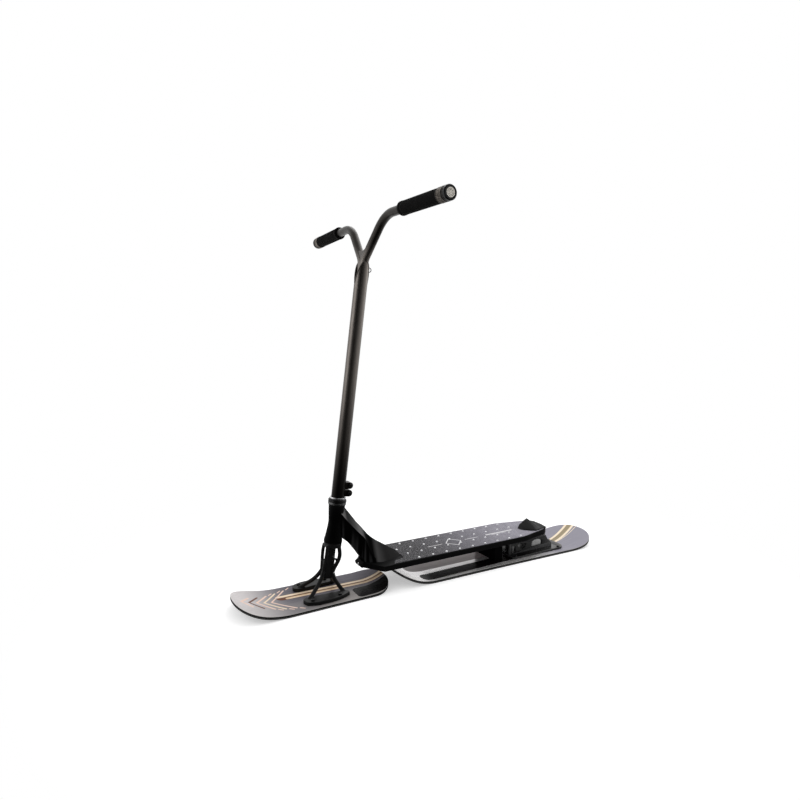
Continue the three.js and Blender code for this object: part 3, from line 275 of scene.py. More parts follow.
def spline(places, count):
    """Points spaced evenly along a smooth curve through places."""
    places = [Vector(p) for p in places]
    ends = [2 * places[0] - places[1], *places, 2 * places[-1] - places[-2]]
    fine = []
    for a, b, c, d in zip(ends, ends[1:], ends[2:], ends[3:]):
        for step in range(SPLINE_STEPS):
            t = step / SPLINE_STEPS
            curve = 2 * b + (c - a) * t + (2 * a - 5 * b + 4 * c - d) * t**2
            fine.append((curve + (3 * b - a - 3 * c + d) * t**3) / 2)
    fine.append(places[-1])
    lengths = [0.0]
    for a, b in zip(fine, fine[1:]):
        lengths.append(lengths[-1] + (b - a).length)
    spaced = []
    at = 0
    for step in range(count):
        goal = lengths[-1] * step / (count - 1)
        while at < len(fine) - 2 and lengths[at + 1] < goal:
            at += 1
        share = (goal - lengths[at]) / max(lengths[at + 1] - lengths[at], 1e-9)
        spaced.append(fine[at].lerp(fine[at + 1], min(share, 1)))
    return spaced


def loft(rings, bm=None):
    """A closed solid through rings of equally many points, added to bm."""
    bm = bm or bmesh.new()
    rows = [[bm.verts.new(p) for p in ring] for ring in rings]
    for low, high in zip(rows, rows[1:]):
        for j in range(len(low)):
            k = (j + 1) % len(low)
            bm.faces.new((low[j], low[k], high[k], high[j]))
    bm.faces.new(rows[0][::-1])
    bm.faces.new(rows[-1])
    return bm


def limb(points, radius_at, sides=20, bm=None):
    """A round limb through points, its radius a function of the share of its length."""
    rings = []
    last = len(points) - 1
    across = Vector((1, 0, 0))
    for i, centre in enumerate(points):
        along = (points[min(i + 1, last)] - points[max(i - 1, 0)]).normalized()
        across = (across - along * across.dot(along)).normalized()
        back = along.cross(across)
        radius = radius_at(i / last)
        turn = [2 * math.pi * j / sides for j in range(sides)]
        rings.append([centre + radius * (across * math.cos(a) + back * math.sin(a)) for a in turn])
    return loft(rings, bm)


def turned(profile, sides=96, bm=None):
    """A closed profile of (radius, height) turned about z."""
    bm = bm or bmesh.new()
    rows = []
    for radius, height in profile:
        if radius < 1e-6:
            rows.append([bm.verts.new((0, 0, height))] * sides)
            continue
        row = []
        for j in range(sides):
            angle = 2 * math.pi * j / sides
            row.append(bm.verts.new((radius * math.cos(angle), radius * math.sin(angle), height)))
        rows.append(row)
    for i, row in enumerate(rows):
        beyond = rows[(i + 1) % len(rows)]
        if row[0] is row[1] and beyond[0] is beyond[1]:
            continue
        for j in range(sides):
            k = (j + 1) % sides
            corners = list(dict.fromkeys((row[j], row[k], beyond[k], beyond[j])))
            bm.faces.new(corners)
    return bm


def slab(outline, bottom, top, bm=None):
    """A flat outline of (x, y) raised between two heights."""
    return loft([[(x, y, z) for x, y in outline] for z in (bottom, top)], bm)


def block(x0, x1, y0, y1, z0, z1):
    """A box between two places along each axis."""
    return slab([(x0, y0), (x1, y0), (x1, y1), (x0, y1)], z0, z1)


def plate(outline, low, high):
    """A closed solid between two places along x, from an outline of (y, z)."""
    return loft([[(x, y, z) for y, z in outline] for x in (low, high)])


def web(outline, half, bm=None):
    """A closed solid that reaches half either way across y, from an outline of (x, z)."""
    return loft([[(x, y, z) for x, z in outline] for y in (-half, half)], bm)


def mesh_object(name, bm, lay):
    """A finished object at the origin, its place in its mesh."""
    bm.transform(lay)
    bmesh.ops.remove_doubles(bm, verts=bm.verts, dist=1e-7)
    bmesh.ops.recalc_face_normals(bm, faces=bm.faces)
    mesh = bpy.data.meshes.new(name)
    bm.to_mesh(mesh)
    bm.free()
    made = bpy.data.objects.new(name, mesh)
    bpy.context.scene.collection.objects.link(made)
    return made


def settle(made):
    """Turns an object's modifiers into plain mesh."""
    bpy.context.view_layer.update()
    graph = bpy.context.evaluated_depsgraph_get()
    mesh = bpy.data.meshes.new_from_object(made.evaluated_get(graph), preserve_all_data_layers=True,
                                           depsgraph=graph)
    made.modifiers.clear()
    made.data = mesh


def soften(made, width, steps=3, corner=30, bevel_slot=-1):
    """Rounds an object's sharp edges by a width in millimetres."""
    edge = made.modifiers.new("edges", "BEVEL")
    edge.width = width * MM
    edge.segments = steps
    edge.limit_method = "ANGLE"
    edge.angle_limit = math.radians(corner)
    edge.material = bevel_slot
    edge.harden_normals = True
    edge.use_clamp_overlap = True
    shade(made, 180)
    settle(made)


def shade(made, corner=35):
    """Smooth shading, with edges sharper than a corner in degrees left sharp."""
    made.data.shade_smooth()
    if corner < 180:
        made.data.set_sharp_from_angle(angle=math.radians(corner))


def combine(made, tool, operation):
    """Joins a tool to an object, or cuts it out, and removes the tool."""
    step = made.modifiers.new("step", "BOOLEAN")
    step.operation = operation
    step.solver = "MANIFOLD"
    step.object = tool
    settle(made)
    bpy.data.objects.remove(tool)


def finish(made, body, slot, *materials, nodes=()):
    """Gives a piece its materials and its body, and hides the CAD nodes it stands for. Its slot is not
    used.
    """
    if not any(made.data.materials):
        made.data.materials.clear()
        for material in materials:
            made.data.materials.append(material)
        for face in made.data.polygons:
            face.material_index = 0
    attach(made, body)
    if nodes:
        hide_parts(*nodes)


def merged_copy(name, node):
    """A CAD node's mesh with its loose triangles merged and its flat faces made whole."""
    bm = bmesh.new()
    bm.from_mesh(frame["nodes"][node].data)
    bmesh.ops.remove_doubles(bm, verts=bm.verts, dist=1e-6)
    bmesh.ops.dissolve_limit(bm, angle_limit=math.radians(0.5), verts=bm.verts, edges=bm.edges)
    return mesh_object(name, bm, Matrix.Identity(4))


# Node trees


class Nodes:
    """A node tree that is filled one node at a time."""

    def plug(self, socket, value):
        if isinstance(value, bpy.types.NodeSocket):
            self.tree.links.new(value, socket)
        else:
            socket.default_value = value

    def add(self, kind, inputs=None, **settings):
        node = self.tree.nodes.new(kind)
        for key, value in settings.items():
            setattr(node, key, value)
        for key, value in (inputs or {}).items():
            self.plug(node.inputs[key], value)
        return node

    def math(self, operation, *values):
        return self.add("ShaderNodeMath", dict(enumerate(values)), operation=operation).outputs[0]

    def vector(self, x, y, z):
        return self.add("ShaderNodeCombineXYZ", {0: x, 1: y, 2: z}).outputs[0]

    def between(self, value, low, high, to_low=0.0, to_high=1.0, smooth=True):
        """A value carried from one range to another, and kept inside it."""
        inputs = {"Value": value, "From Min": low, "From Max": high, "To Min": to_low,
                  "To Max": to_high}
        kind = "SMOOTHSTEP" if smooth else "LINEAR"
        return self.add("ShaderNodeMapRange", inputs, interpolation_type=kind).outputs[0]

    def mixed_shader(self, share, a, b):
        return self.add("ShaderNodeMixShader", {0: share, 1: a, 2: b}).outputs[0]


class Growth(Nodes):
    """A geometry tree with named sizes that ends in real mesh with a material."""

    def __init__(self, name, **sizes):
        self.tree = bpy.data.node_groups.new(name, "GeometryNodeTree")
        self.sizes = sizes
        sockets = self.tree.interface
        sockets.new_socket("Geometry", in_out="INPUT", socket_type="NodeSocketGeometry")
        self.keys = {}
        for label in sizes:
            socket = sockets.new_socket(label, in_out="INPUT", socket_type="NodeSocketFloat")
            self.keys[label] = socket.identifier
        socket = sockets.new_socket("finish", in_out="INPUT", socket_type="NodeSocketMaterial")
        self.keys["finish"] = socket.identifier
        sockets.new_socket("Geometry", in_out="OUTPUT", socket_type="NodeSocketGeometry")
        self.entry = self.tree.nodes.new("NodeGroupInput").outputs
        self.exit = self.tree.nodes.new("NodeGroupOutput")

    def raised(self, geometry, height):
        inputs = {"Geometry": geometry, "Translation": self.vector(0.0, 0.0, height)}
        return self.add("GeometryNodeTransform", inputs).outputs[0]

    def cylinder(self, radius, depth, sides=24):
        inputs = {"Vertices": sides, "Radius": radius, "Depth": depth}
        return self.add("GeometryNodeMeshCylinder", inputs).outputs[0]

    def on_points(self, shape):
        """Sets a shape on the entry's points, its z along their attribute 'facing'."""
        facing = self.add("GeometryNodeInputNamedAttribute", {"Name": "facing"},
                          data_type="FLOAT_VECTOR").outputs[0]
        turn = self.add("FunctionNodeAlignRotationToVector", {"Vector": facing}, axis="Z")
        inputs = {"Points": self.entry["Geometry"], "Instance": shape, "Rotation": turn.outputs[0]}
        return self.add("GeometryNodeInstanceOnPoints", inputs).outputs[0]

    def end(self, geometry):
        """Makes the geometry real, gives it its material and closes the tree."""
        real = self.add("GeometryNodeRealizeInstances", {0: geometry}).outputs[0]
        inputs = {"Geometry": real, "Material": self.entry["finish"]}
        last = self.add("GeometryNodeSetMaterial", inputs).outputs[0]
        self.tree.links.new(last, self.exit.inputs[0])
        return self

    def grow(self, name, places, material, lay, facing=(0, 0, 1), path=False):
        """Runs the tree on points, or on a path through them, and keeps plain mesh."""
        mesh = bpy.data.meshes.new(name)
        links = [(i, i + 1) for i in range(len(places) - 1)] if path else []
        mesh.from_pydata([lay @ Vector(p) for p in places], links, [])
        ways = facing if isinstance(facing, list) else [facing] * len(places)
        turn = lay.to_3x3()
        attribute = mesh.attributes.new("facing", "FLOAT_VECTOR", "POINT")
        for i, way in enumerate(ways):
            attribute.data[i].vector = (turn @ Vector(way)).normalized()
        made = bpy.data.objects.new(name, mesh)
        bpy.context.scene.collection.objects.link(made)
        step = made.modifiers.new("growth", "NODES")
        step.node_group = self.tree
        for label, value in self.sizes.items():
            step[self.keys[label]] = value
        step[self.keys["finish"]] = material
        settle(made)
        if "facing" in made.data.attributes:
            made.data.attributes.remove(made.data.attributes["facing"])
        return made


def screw_growth(name, head, height, shank, length, socket):
    """Screws with a chamfered round head and a hexagon socket, seats on the points."""
    side_share, crown_share, shank_share = 0.78, 0.84, 0.499
    tree = Growth(name, head=head * MM, height=height * MM, shank=shank * MM, length=length * MM,
                  socket=socket * MM)
    entry = tree.entry
    low = tree.math("MULTIPLY", entry["height"], side_share)
    body = tree.raised(tree.cylinder(entry["head"], low), tree.math("MULTIPLY", low, 0.5))
    inputs = {"Vertices": 24, "Radius Bottom": entry["head"],
              "Radius Top": tree.math("MULTIPLY", entry["head"], crown_share),
              "Depth": tree.math("SUBTRACT", entry["height"], low)}
    crown = tree.raised(tree.add("GeometryNodeMeshCone", inputs).outputs[0], low)
    pin = tree.raised(tree.cylinder(entry["shank"], entry["length"], 12),
                      tree.math("MULTIPLY", entry["length"], -shank_share))
    whole = tree.add("GeometryNodeMeshBoolean", operation="UNION", solver="EXACT")
    for part in (body, crown, pin):
        tree.tree.links.new(part, whole.inputs["Mesh"])
    key = tree.raised(tree.cylinder(entry["socket"], entry["height"], 6), entry["height"])
    cut = tree.add("GeometryNodeMeshBoolean", operation="DIFFERENCE", solver="EXACT")
    tree.tree.links.new(whole.outputs[0], cut.inputs[0])
    tree.tree.links.new(key, cut.inputs[1])
    return tree.end(tree.on_points(cut.outputs[0]))


def stud_growth(name, foot, tip, height):
    """Blunt cones."""
    tree = Growth(name, foot=foot * MM, tip=tip * MM, height=height * MM)
    inputs = {"Vertices": 16, "Side Segments": 2, "Radius Bottom": tree.entry["foot"],
              "Radius Top": tree.entry["tip"], "Depth": tree.entry["height"]}
    return tree.end(tree.on_points(tree.add("GeometryNodeMeshCone", inputs).outputs[0]))


def dome_growth(name, radius, flatness):
    """Low domes."""
    tree = Growth(name, radius=radius * MM, flatness=flatness)
    ball = tree.add("GeometryNodeMeshUVSphere",
                    {"Segments": 10, "Rings": 6, "Radius": tree.entry["radius"]}).outputs[0]
    low = tree.add("GeometryNodeTransform",
                   {"Geometry": ball, "Scale": tree.vector(1.0, 1.0, tree.entry["flatness"])})
    smooth = tree.add("GeometryNodeSetShadeSmooth", {"Geometry": low.outputs[0]}).outputs[0]
    return tree.end(tree.on_points(smooth))


def pyramid_growth(name, radius, height):
    """Four-sided points of a knurl."""
    tree = Growth(name, radius=radius * MM, height=height * MM)
    inputs = {"Vertices": 4, "Radius Bottom": tree.entry["radius"], "Radius Top": 0.0001,
              "Depth": tree.entry["height"]}
    return tree.end(tree.on_points(tree.add("GeometryNodeMeshCone", inputs).outputs[0]))


def bead_growth(name, radius, pitch):
    """A weld bead: overlapping scales along a path."""
    tree = Growth(name, radius=radius * MM, pitch=pitch * MM)
    path = tree.add("GeometryNodeMeshToCurve", {0: tree.entry["Geometry"]}).outputs[0]
    places = tree.add("GeometryNodeCurveToPoints", {"Curve": path, "Length": tree.entry["pitch"]},
                      mode="LENGTH")
    scale = tree.add("GeometryNodeMeshUVSphere",
                     {"Segments": 12, "Rings": 8, "Radius": tree.entry["radius"]}).outputs[0]
    smooth = tree.add("GeometryNodeSetShadeSmooth", {"Geometry": scale}).outputs[0]
    inputs = {"Points": places.outputs["Points"], "Instance": smooth,
              "Rotation": places.outputs["Rotation"], "Scale": (1.0, 1.0, 0.75)}
    return tree.end(tree.add("GeometryNodeInstanceOnPoints", inputs).outputs[0])


def wire_growth(name, radius):
    """A round wire along a path."""
    tree = Growth(name, radius=radius * MM)
    path = tree.add("GeometryNodeMeshToCurve", {0: tree.entry["Geometry"]}).outputs[0]
    circle = tree.add("GeometryNodeCurvePrimitiveCircle",
                      {"Resolution": 24, "Radius": tree.entry["radius"]}, mode="RADIUS")
    inputs = {"Curve": path, "Profile Curve": circle.outputs[0], "Fill Caps": True}
    swept = tree.add("GeometryNodeCurveToMesh", inputs).outputs[0]
    return tree.end(tree.add("GeometryNodeSetShadeSmooth", {"Geometry": swept}).outputs[0])


# Finishes

PRINT_BLUR = 0.8
NEAR_BLACK = (0.004, 0.004, 0.004)
# painted top light on the satin black fades out between these places along x
TOP_LIGHT_FADE = (95.0, 165.0)
# painted shade on the bar: darker below the first span and above the second
BAR_FOOT_SHADE = (235 * MM, 620 * MM)
BAR_HANDS_SHADE = (865 * MM, 925 * MM)


class Finish(Nodes):
    """A material with its nodes."""

    def __init__(self, name, **values):
        self.material = bpy.data.materials.new(name)
        self.material.use_nodes = True
        self.tree = self.material.node_tree
        self.shader = self.tree.nodes["Principled BSDF"]
        for label, value in values.items():
            socket = label.replace("_", " ").title().replace("Ior", "IOR")
            self.shader.inputs[socket].default_value = value
        self.spot = self.add("ShaderNodeTexCoord").outputs["Object"]

    def set(self, label, value):
        self.plug(self.shader.inputs[label], value)

    def colour(self, share, a, b):
        self.set("Base Color", self.mix(share, a, b))

    def roughness(self, share, smooth, rough, low=0.3, high=0.7):
        self.set("Roughness", self.between(share, low, high, smooth, rough))

    def height(self, vector):
        return self.add("ShaderNodeSeparateXYZ", {0: vector}).outputs[2]

    def places(self):
        """x and y in millimetres from the steering axis, y to the right."""
        apart = self.add("ShaderNodeSeparateXYZ", {0: self.spot}).outputs
        x = self.math("MULTIPLY_ADD", apart[0], 1 / MM, -AXIS_FOOT_X)
        y = self.math("MULTIPLY", apart[1], 1 / MM)
        return x, y

    def noise(self, scale, detail=3.0, stretch=(1, 1, 1), turn=(0, 0, 0)):
        inputs = {"Vector": self.spot, "Scale": stretch, "Rotation": turn}
        mapping = self.add("ShaderNodeMapping", inputs).outputs[0]
        inputs = {"Vector": mapping, "Scale": scale, "Detail": detail}
        return self.add("ShaderNodeTexNoise", inputs).outputs[0]

    def speckle(self, scale):
        inputs = {"Vector": self.spot, "Scale": scale}
        return self.add("ShaderNodeTexVoronoi", inputs).outputs["Distance"]

    def mix(self, share, a, b):
        node = self.add("ShaderNodeMix", data_type="RGBA")
        self.plug(node.inputs[0], share)
        for socket, value in ((node.inputs[6], a), (node.inputs[7], b)):
            self.plug(socket, (*value, 1) if isinstance(value, tuple) else value)
        return node.outputs[2]

    def bump(self, height, strength, distance):
        inputs = {"Height": height, "Strength": strength, "Distance": distance * MM}
        self.set("Normal", self.add("ShaderNodeBump", inputs).outputs[0])

    def length(self, x, y):
        square = self.math("MULTIPLY_ADD", x, x, self.math("MULTIPLY", y, y))
        return self.math("SQRT", square)

    def inside(self, away, edge):
        """1 nearer than an edge, 0 beyond it, a little blurred between."""
        return self.between(away, edge + PRINT_BLUR / 2, edge - PRINT_BLUR / 2)

    def stroke(self, x, y, start, end, half):
        """1 on a straight stroke between two points, 0 off it."""
        (ax, ay), (bx, by) = start, end
        dx, dy = bx - ax, by - ay
        px = self.math("SUBTRACT", x, ax)
        py = self.math("SUBTRACT", y, ay)
        along = self.math("MULTIPLY", px, dx / (dx * dx + dy * dy))
        along = self.math("MULTIPLY_ADD", py, dy / (dx * dx + dy * dy), along)
        along = self.math("MINIMUM", self.math("MAXIMUM", along, 0.0), 1.0)
        qx = self.math("MULTIPLY_ADD", along, -dx, px)
        qy = self.math("MULTIPLY_ADD", along, -dy, py)
        return self.inside(self.length(qx, qy), half)

    def stripes(self, x, y, ground, strokes):
        """A ground with strokes on it: start, end, half width and colour."""
        for start, end, half, colour in strokes:
            ground = self.mix(self.stroke(x, y, start, end, half), ground, colour)
        return ground

    def panel(self, x, y, low, high, corner, shear=0.0):
        """1 inside a box with round corners, its y edges sheared along x."""
        (x0, y0), (x1, y1) = low, high
        if shear:
            y = self.math("MULTIPLY_ADD", self.math("SUBTRACT", x, (x0 + x1) / 2), -shear, y)
        sides = []
        for place, a, b in ((x, x0, x1), (y, y0, y1)):
            out = self.math("ABSOLUTE", self.math("SUBTRACT", place, (a + b) / 2))
            out = self.math("SUBTRACT", out, (b - a) / 2 - corner)
            sides.append(self.math("MAXIMUM", out, 0.0))
        return self.inside(self.length(*sides), corner)


def satin_black(name, tone=0.001, rough=0.36, gloss=0.025, edge_wear_and_glint=0.035, painted_top_light=0.0):
    """Black anodised alloy with a fine blasted grain, paler on its edges from wear and from painted
    highlight.

    painted_top_light is the paler tone painted on the faces that look up, as light from above,
    strongest near the head tube.
    """
    f = Finish(name, metallic=0.0, specular_ior_level=gloss)
    cloud = f.noise(38.0, 4.0)
    edge = f.between(f.add("ShaderNodeNewGeometry").outputs["Pointiness"], 0.515, 0.62)
    deep = (tone * 0.8, tone * 0.8, tone * 0.85)
    base = f.mix(cloud, deep, (tone * 1.35, tone * 1.3, tone * 1.3))
    # pale edges: partly wear, partly painted highlight where the edges catch the light
    base = f.mix(f.math("MULTIPLY", edge, 0.5), base, (edge_wear_and_glint, edge_wear_and_glint, edge_wear_and_glint * 1.03))
    # painted light: faces that look up are painted paler, most near the head tube
    if painted_top_light:
        upward = f.height(f.add("ShaderNodeTexCoord").outputs["Normal"])
        top_light_share = f.between(f.places()[0], *TOP_LIGHT_FADE, 1.0, 0.12)
        top_light_share = f.math("MULTIPLY", f.between(upward, 0.4, 0.55), top_light_share)
        base = f.mix(top_light_share, base, (painted_top_light, painted_top_light * 0.98, painted_top_light * 0.98))
    f.set("Base Color", base)
    f.roughness(cloud, rough - 0.05, rough + 0.08)
    f.bump(f.noise(2600.0, 2.0), 0.25, 0.05)
    return f.material


def bar_finish():
    """Bronze-grey bar, brushed along its length, with painted shade darkening it to its foot and its
    hands.
    """
    f = Finish("bar_gunmetal", metallic=1.0)
    brushed = f.noise(420.0, 3.0, stretch=(1, 1, 0.03), turn=(0, -LEAN, 0))
    base = f.mix(f.noise(9.0), (0.125, 0.112, 0.103), (0.18, 0.163, 0.148))
    base = f.mix(f.math("MULTIPLY", brushed, 0.35), base, (0.055, 0.048, 0.043))
    height = f.height(f.spot)
    # painted shade: the bar is painted darker towards its foot and its hands
    foot = f.between(height, *BAR_FOOT_SHADE, 0.04, 1.0)
    hands_shade = f.between(height, *BAR_HANDS_SHADE, 1.0, 0.2)
    f.colour(f.math("MULTIPLY", foot, hands_shade), (0.006, 0.0055, 0.005), base)
    f.roughness(brushed, 0.28, 0.4, 0.25, 0.75)
    f.bump(brushed, 0.12, 0.03)
    return f.material


def rubber_finish():
    """Matt black rubber with dust in its grain."""
    f = Finish("grip_rubber", specular_ior_level=0.06)
    dust = f.noise(90.0, 4.0)
    f.colour(dust, (0.0025, 0.0023, 0.0023), (0.006, 0.0055, 0.0055))
    f.roughness(dust, 0.62, 0.8)
    f.bump(f.noise(1500.0), 0.4, 0.08)
    return f.material


def ring_finish(name, low, high):
    """Bronze-grey anodised alloy with a fine mottle."""
    f = Finish(name, metallic=0.9)
    cloud = f.noise(620.0)
    f.colour(f.between(cloud, 0.36, 0.64), low, high)
    f.roughness(cloud, 0.32, 0.48)
    return f.material


def dot_finish():
    """Pale polished dots on the bar ends."""
    f = Finish("bar_end_dots", metallic=0.0)
    cloud = f.noise(300.0, 2.0)
    f.colour(cloud, (0.84, 0.79, 0.7), (0.97, 0.93, 0.86))
    f.roughness(cloud, 0.22, 0.35)
    return f.material


def steel_finish(name, low, high, rough):
    """Turned steel with fine rings."""
    f = Finish(name, metallic=1.0)
    fine = f.noise(900.0, 2.0, stretch=(0.15, 0.15, 1))
    f.colour(fine, (low, low, low * 1.02), (high, high, high * 1.02))
    f.roughness(fine, rough - 0.05, rough + 0.08)
    f.bump(fine, 0.1, 0.02)
    return f.material


CHEVRONS = 5
CHEVRON_TIP = -226
CHEVRON_MIDDLE = 2
CHEVRON_PITCH = 19
CHEVRON_REACH = 26
CHEVRON_GROWTH = 7.5
CHEVRON_SLOPE = 0.85
CHEVRON_HALF = 2.9
CHEVRON_THINNING = 0.2
FIRST_TICKED = 2
TICK_GAP = (8, 3)
TICK_LENGTH = (9, 8)
TICK_HALF = 1.7


def chevrons(f, x, y, ground, colours, tick_colour):
    """Nested chevrons that point to the nose, the back ones with a tick at each end."""
    for k in range(CHEVRONS):
        tip = CHEVRON_TIP + CHEVRON_PITCH * k
        reach = CHEVRON_REACH + CHEVRON_GROWTH * k
        for side in (-1, 1):
            start = (tip, CHEVRON_MIDDLE)
            end = (tip + CHEVRON_SLOPE * reach, CHEVRON_MIDDLE + side * reach)
            strokes = [(start, end, CHEVRON_HALF - CHEVRON_THINNING * k, colours[k])]
            if k >= FIRST_TICKED:
                start = (end[0] + TICK_GAP[0], end[1] + side * TICK_GAP[1])
                end = (start[0] + TICK_LENGTH[0], start[1] + side * TICK_LENGTH[1])
                strokes.append((start, end, TICK_HALF, tick_colour))
            ground = f.stripes(x, y, ground, strokes)
    return ground


def front_sheet():
    """Front top sheet: lavender with painted light paling it to the nose and on its near side,
    stripes, a dark panel and chevrons.
    """
    f = Finish("front_top_sheet", coat_weight=0.06, coat_roughness=0.08, specular_ior_level=0.04)
    x, y = f.places()
    nose_highlight, lavender, near_side_light = (0.74, 0.7, 0.7), (0.115, 0.108, 0.13), (0.4, 0.375, 0.35)
    nose_highlight_fade, near_light_across, near_light_along = (-245.0, -85.0), (0.0, -45.0), (-170.0, 60.0)
    # painted highlight: the sheet pales to a light grey towards the nose
    ground = f.mix(f.between(x, *nose_highlight_fade), nose_highlight, lavender)
    # painted light: the near side is painted paler than the shaded far side
    near_light = f.math("MULTIPLY", f.between(y, *near_light_across), f.between(x, *near_light_along, 0.2, 0.75))
    ground = f.mix(near_light, ground, near_side_light)
    grain = f.noise(60.0, 5.0, stretch=(0.12, 1, 1))
    ground = f.mix(f.math("MULTIPLY", grain, 0.3), ground, (0.1, 0.095, 0.1))
    cream, tan = (0.86, 0.7, 0.52), (0.66, 0.48, 0.31)
    rust, pink = (0.13, 0.05, 0.028), (0.82, 0.6, 0.5)
    ground = f.stripes(x, y, ground, (
        ((-118, 17), (175, 8), 14.2, rust),
        ((-128, 25.5), (175, 16), 5.0, cream),
        ((-106, 9), (175, 0.5), 5.0, tan),
        ((-100, 6), (175, -2.5), 1.6, cream),
    ))
    dark = f.panel(x, y, (60, -73), (178, -17), 12, shear=0.06)
    ground = f.mix(dark, ground, (0.005, 0.0045, 0.0045))
    ground = chevrons(f, x, y, ground, (pink, rust, pink, cream, pink), pink)
    f.set("Base Color", ground)
    f.roughness(grain, 0.22, 0.34, 0.2, 0.8)
    f.bump(f.noise(260.0), 0.05, 0.05)
    return f.material


def rear_sheet():
    """Rear top sheet: silver foil that ends in lavender, painted shade in a pinkish patch under the
    deck, a pale band, a dark panel and stripes.
    """
    f = Finish("rear_top_sheet", coat_weight=0.04, coat_roughness=0.08, specular_ior_level=0.03)
    x, y = f.places()
    foil_end = (640.0, 760.0)
    grain = f.noise(40.0, 5.0, stretch=(0.1, 1, 1))
    ground = f.mix(f.between(x, *foil_end), (0.95, 0.93, 0.93), (0.31, 0.3, 0.35))
    # painted shade: a darker pinkish patch where the deck's shade falls on the sheet
    band = f.panel(x, y, (240, -8), (660, 40), 14)
    ground = f.mix(f.math("MULTIPLY", band, 0.85), ground, (0.4, 0.34, 0.34))
    ground = f.mix(f.math("MULTIPLY", grain, 0.12), ground, (0.2, 0.19, 0.2))
    dark = f.panel(x, y, (258, -69), (645, -27), 19, shear=0.03)
    ground = f.mix(dark, ground, (0.004, 0.003, 0.003))
    foil = f.math("MULTIPLY", f.between(x, *foil_end, 0.75, 0.0), f.between(band, 0.0, 1.0, 1.0, 0.1))
    f.set("Metallic", f.math("MULTIPLY", foil, f.between(dark, 0.0, 1.0, 1.0, 0.0)))
    grey, cream, olive = (0.6, 0.58, 0.56), (0.92, 0.78, 0.6), (0.34, 0.28, 0.18)
    f.set("Base Color", f.stripes(x, y, ground, (
        ((262, -74.5), (650, -74.5), 0.9, grey),
        ((800, 0), (962, 54), 8.5, olive),
        ((792, 9), (956, 66), 4.3, cream),
        ((806, -10), (969, 42), 4.3, cream),
        ((770, -22), (972, 24), 1.2, cream),
    )))
    f.roughness(grain, 0.2, 0.32, 0.2, 0.8)
    f.bump(f.noise(260.0), 0.05, 0.05)
    return f.material


def edge_finish(name, low, high, rough):
    """Pressed plastic with fine lines along it, for board edges and bases."""
    f = Finish(name, specular_ior_level=0.2)
    lines = f.noise(180.0, 4.0, stretch=(0.05, 1, 1))
    f.colour(lines, low, high)
    f.roughness(lines, rough - 0.06, rough + 0.1)
    f.bump(lines, 0.15, 0.05)
    return f.material


def grit_finish():
    """Grey speckled grit with painted sheen that pales it to the tail, a pale diamond and a few pale
    lines.
    """
    f = Finish("deck_grit", specular_ior_level=0.1)
    x, y = f.places()
    grain = f.speckle(620.0)
    tail_sheen_fade, sparkle_fade = (240.0, 690.0), (260.0, 560.0)
    # painted sheen: the grit is painted paler towards the tail
    tail = f.between(x, *tail_sheen_fade)
    base = f.mix(tail, (0.075, 0.073, 0.078), (0.5, 0.48, 0.54))
    dark = f.mix(tail, (0.03, 0.029, 0.031), (0.26, 0.25, 0.29))
    base = f.mix(f.between(grain, 0.15, 0.55), base, dark)
    patches = f.between(f.noise(55.0, 4.0), 0.35, 0.7, 0.0, 0.2)
    base = f.mix(patches, base, (0.08, 0.077, 0.084))
    sparkle = f.between(f.noise(1100.0, 2.0), 0.6, 0.68)
    sparkle = f.math("MULTIPLY", sparkle, f.between(x, *sparkle_fade, 0.8, 0.25))
    base = f.mix(sparkle, base, (0.55, 0.54, 0.56))
    corners = [(372, -8), (398, 20), (424, -8), (398, -36)]
    diamond = [(a, b, 1.3) for a, b in zip(corners, corners[1:] + corners[:1])]
    for start, end, half in (
        *diamond,
        ((440, -8), (486, -8), 1.1),
        ((310, -8), (356, -8), 1.1),
        ((520, -6), (618, -6), 2.4),
        ((536, -13), (590, -13), 0.9),
    ):
        line = f.math("MULTIPLY", f.stroke(x, y, start, end, half), 0.85)
        base = f.mix(line, base, (0.85, 0.84, 0.85))
    f.set("Base Color", base)
    f.roughness(grain, 0.42, 0.7, 0.0, 0.6)
    f.bump(grain, 0.7, 0.35)
    return f.material


def stop_finish():
    """Moulded black plastic with a leather-like grain."""
    f = Finish("stop_plastic", specular_ior_level=0.15)
    cloud = f.noise(40.0)
    f.colour(cloud, (0.006, 0.006, 0.006), (0.014, 0.014, 0.014))
    f.roughness(cloud, 0.45, 0.6)
    f.bump(f.speckle(900.0), 0.3, 0.12)
    return f.material


frame_black = satin_black("frame_black")
# the neck's paler upward faces are painted top light
neck_black = satin_black("neck_black", gloss=0.006, painted_top_light=0.14)
# the mount's edges are painted much paler: mostly painted highlight, a little wear
mount_black = satin_black("mount_black", tone=0.0012, rough=0.24, gloss=0.3, edge_wear_and_glint=0.2)
riser_black = satin_black("riser_black", tone=0.0008, rough=0.6, gloss=0.005, edge_wear_and_glint=0.01)
fork_black = satin_black("fork_black", tone=0.005, rough=0.34, gloss=0.15, edge_wear_and_glint=0.05)
bar_gunmetal = bar_finish()
grip_rubber = rubber_finish()
ring_bronze = ring_finish("ring_bronze", (0.03, 0.026, 0.023), (0.24, 0.215, 0.19))
ring_dark = ring_finish("ring_dark", (0.012, 0.0105, 0.0095), (0.04, 0.035, 0.031))
bar_end_dots = dot_finish()
bright_steel = steel_finish("bright_steel", 0.5, 0.68, 0.22)
dark_steel = steel_finish("dark_steel", 0.03, 0.06, 0.32)
black_alloy = steel_finish("black_alloy", 0.015, 0.03, 0.3)
# painted highlight: the studs' steel is painted paler than the other steel
stud_glint_steel = steel_finish("stud_glint_steel", 0.85, 0.97, 0.5)
cup_steel = steel_finish("cup_steel", 0.09, 0.16, 0.24)
front_print = front_sheet()
rear_print = rear_sheet()
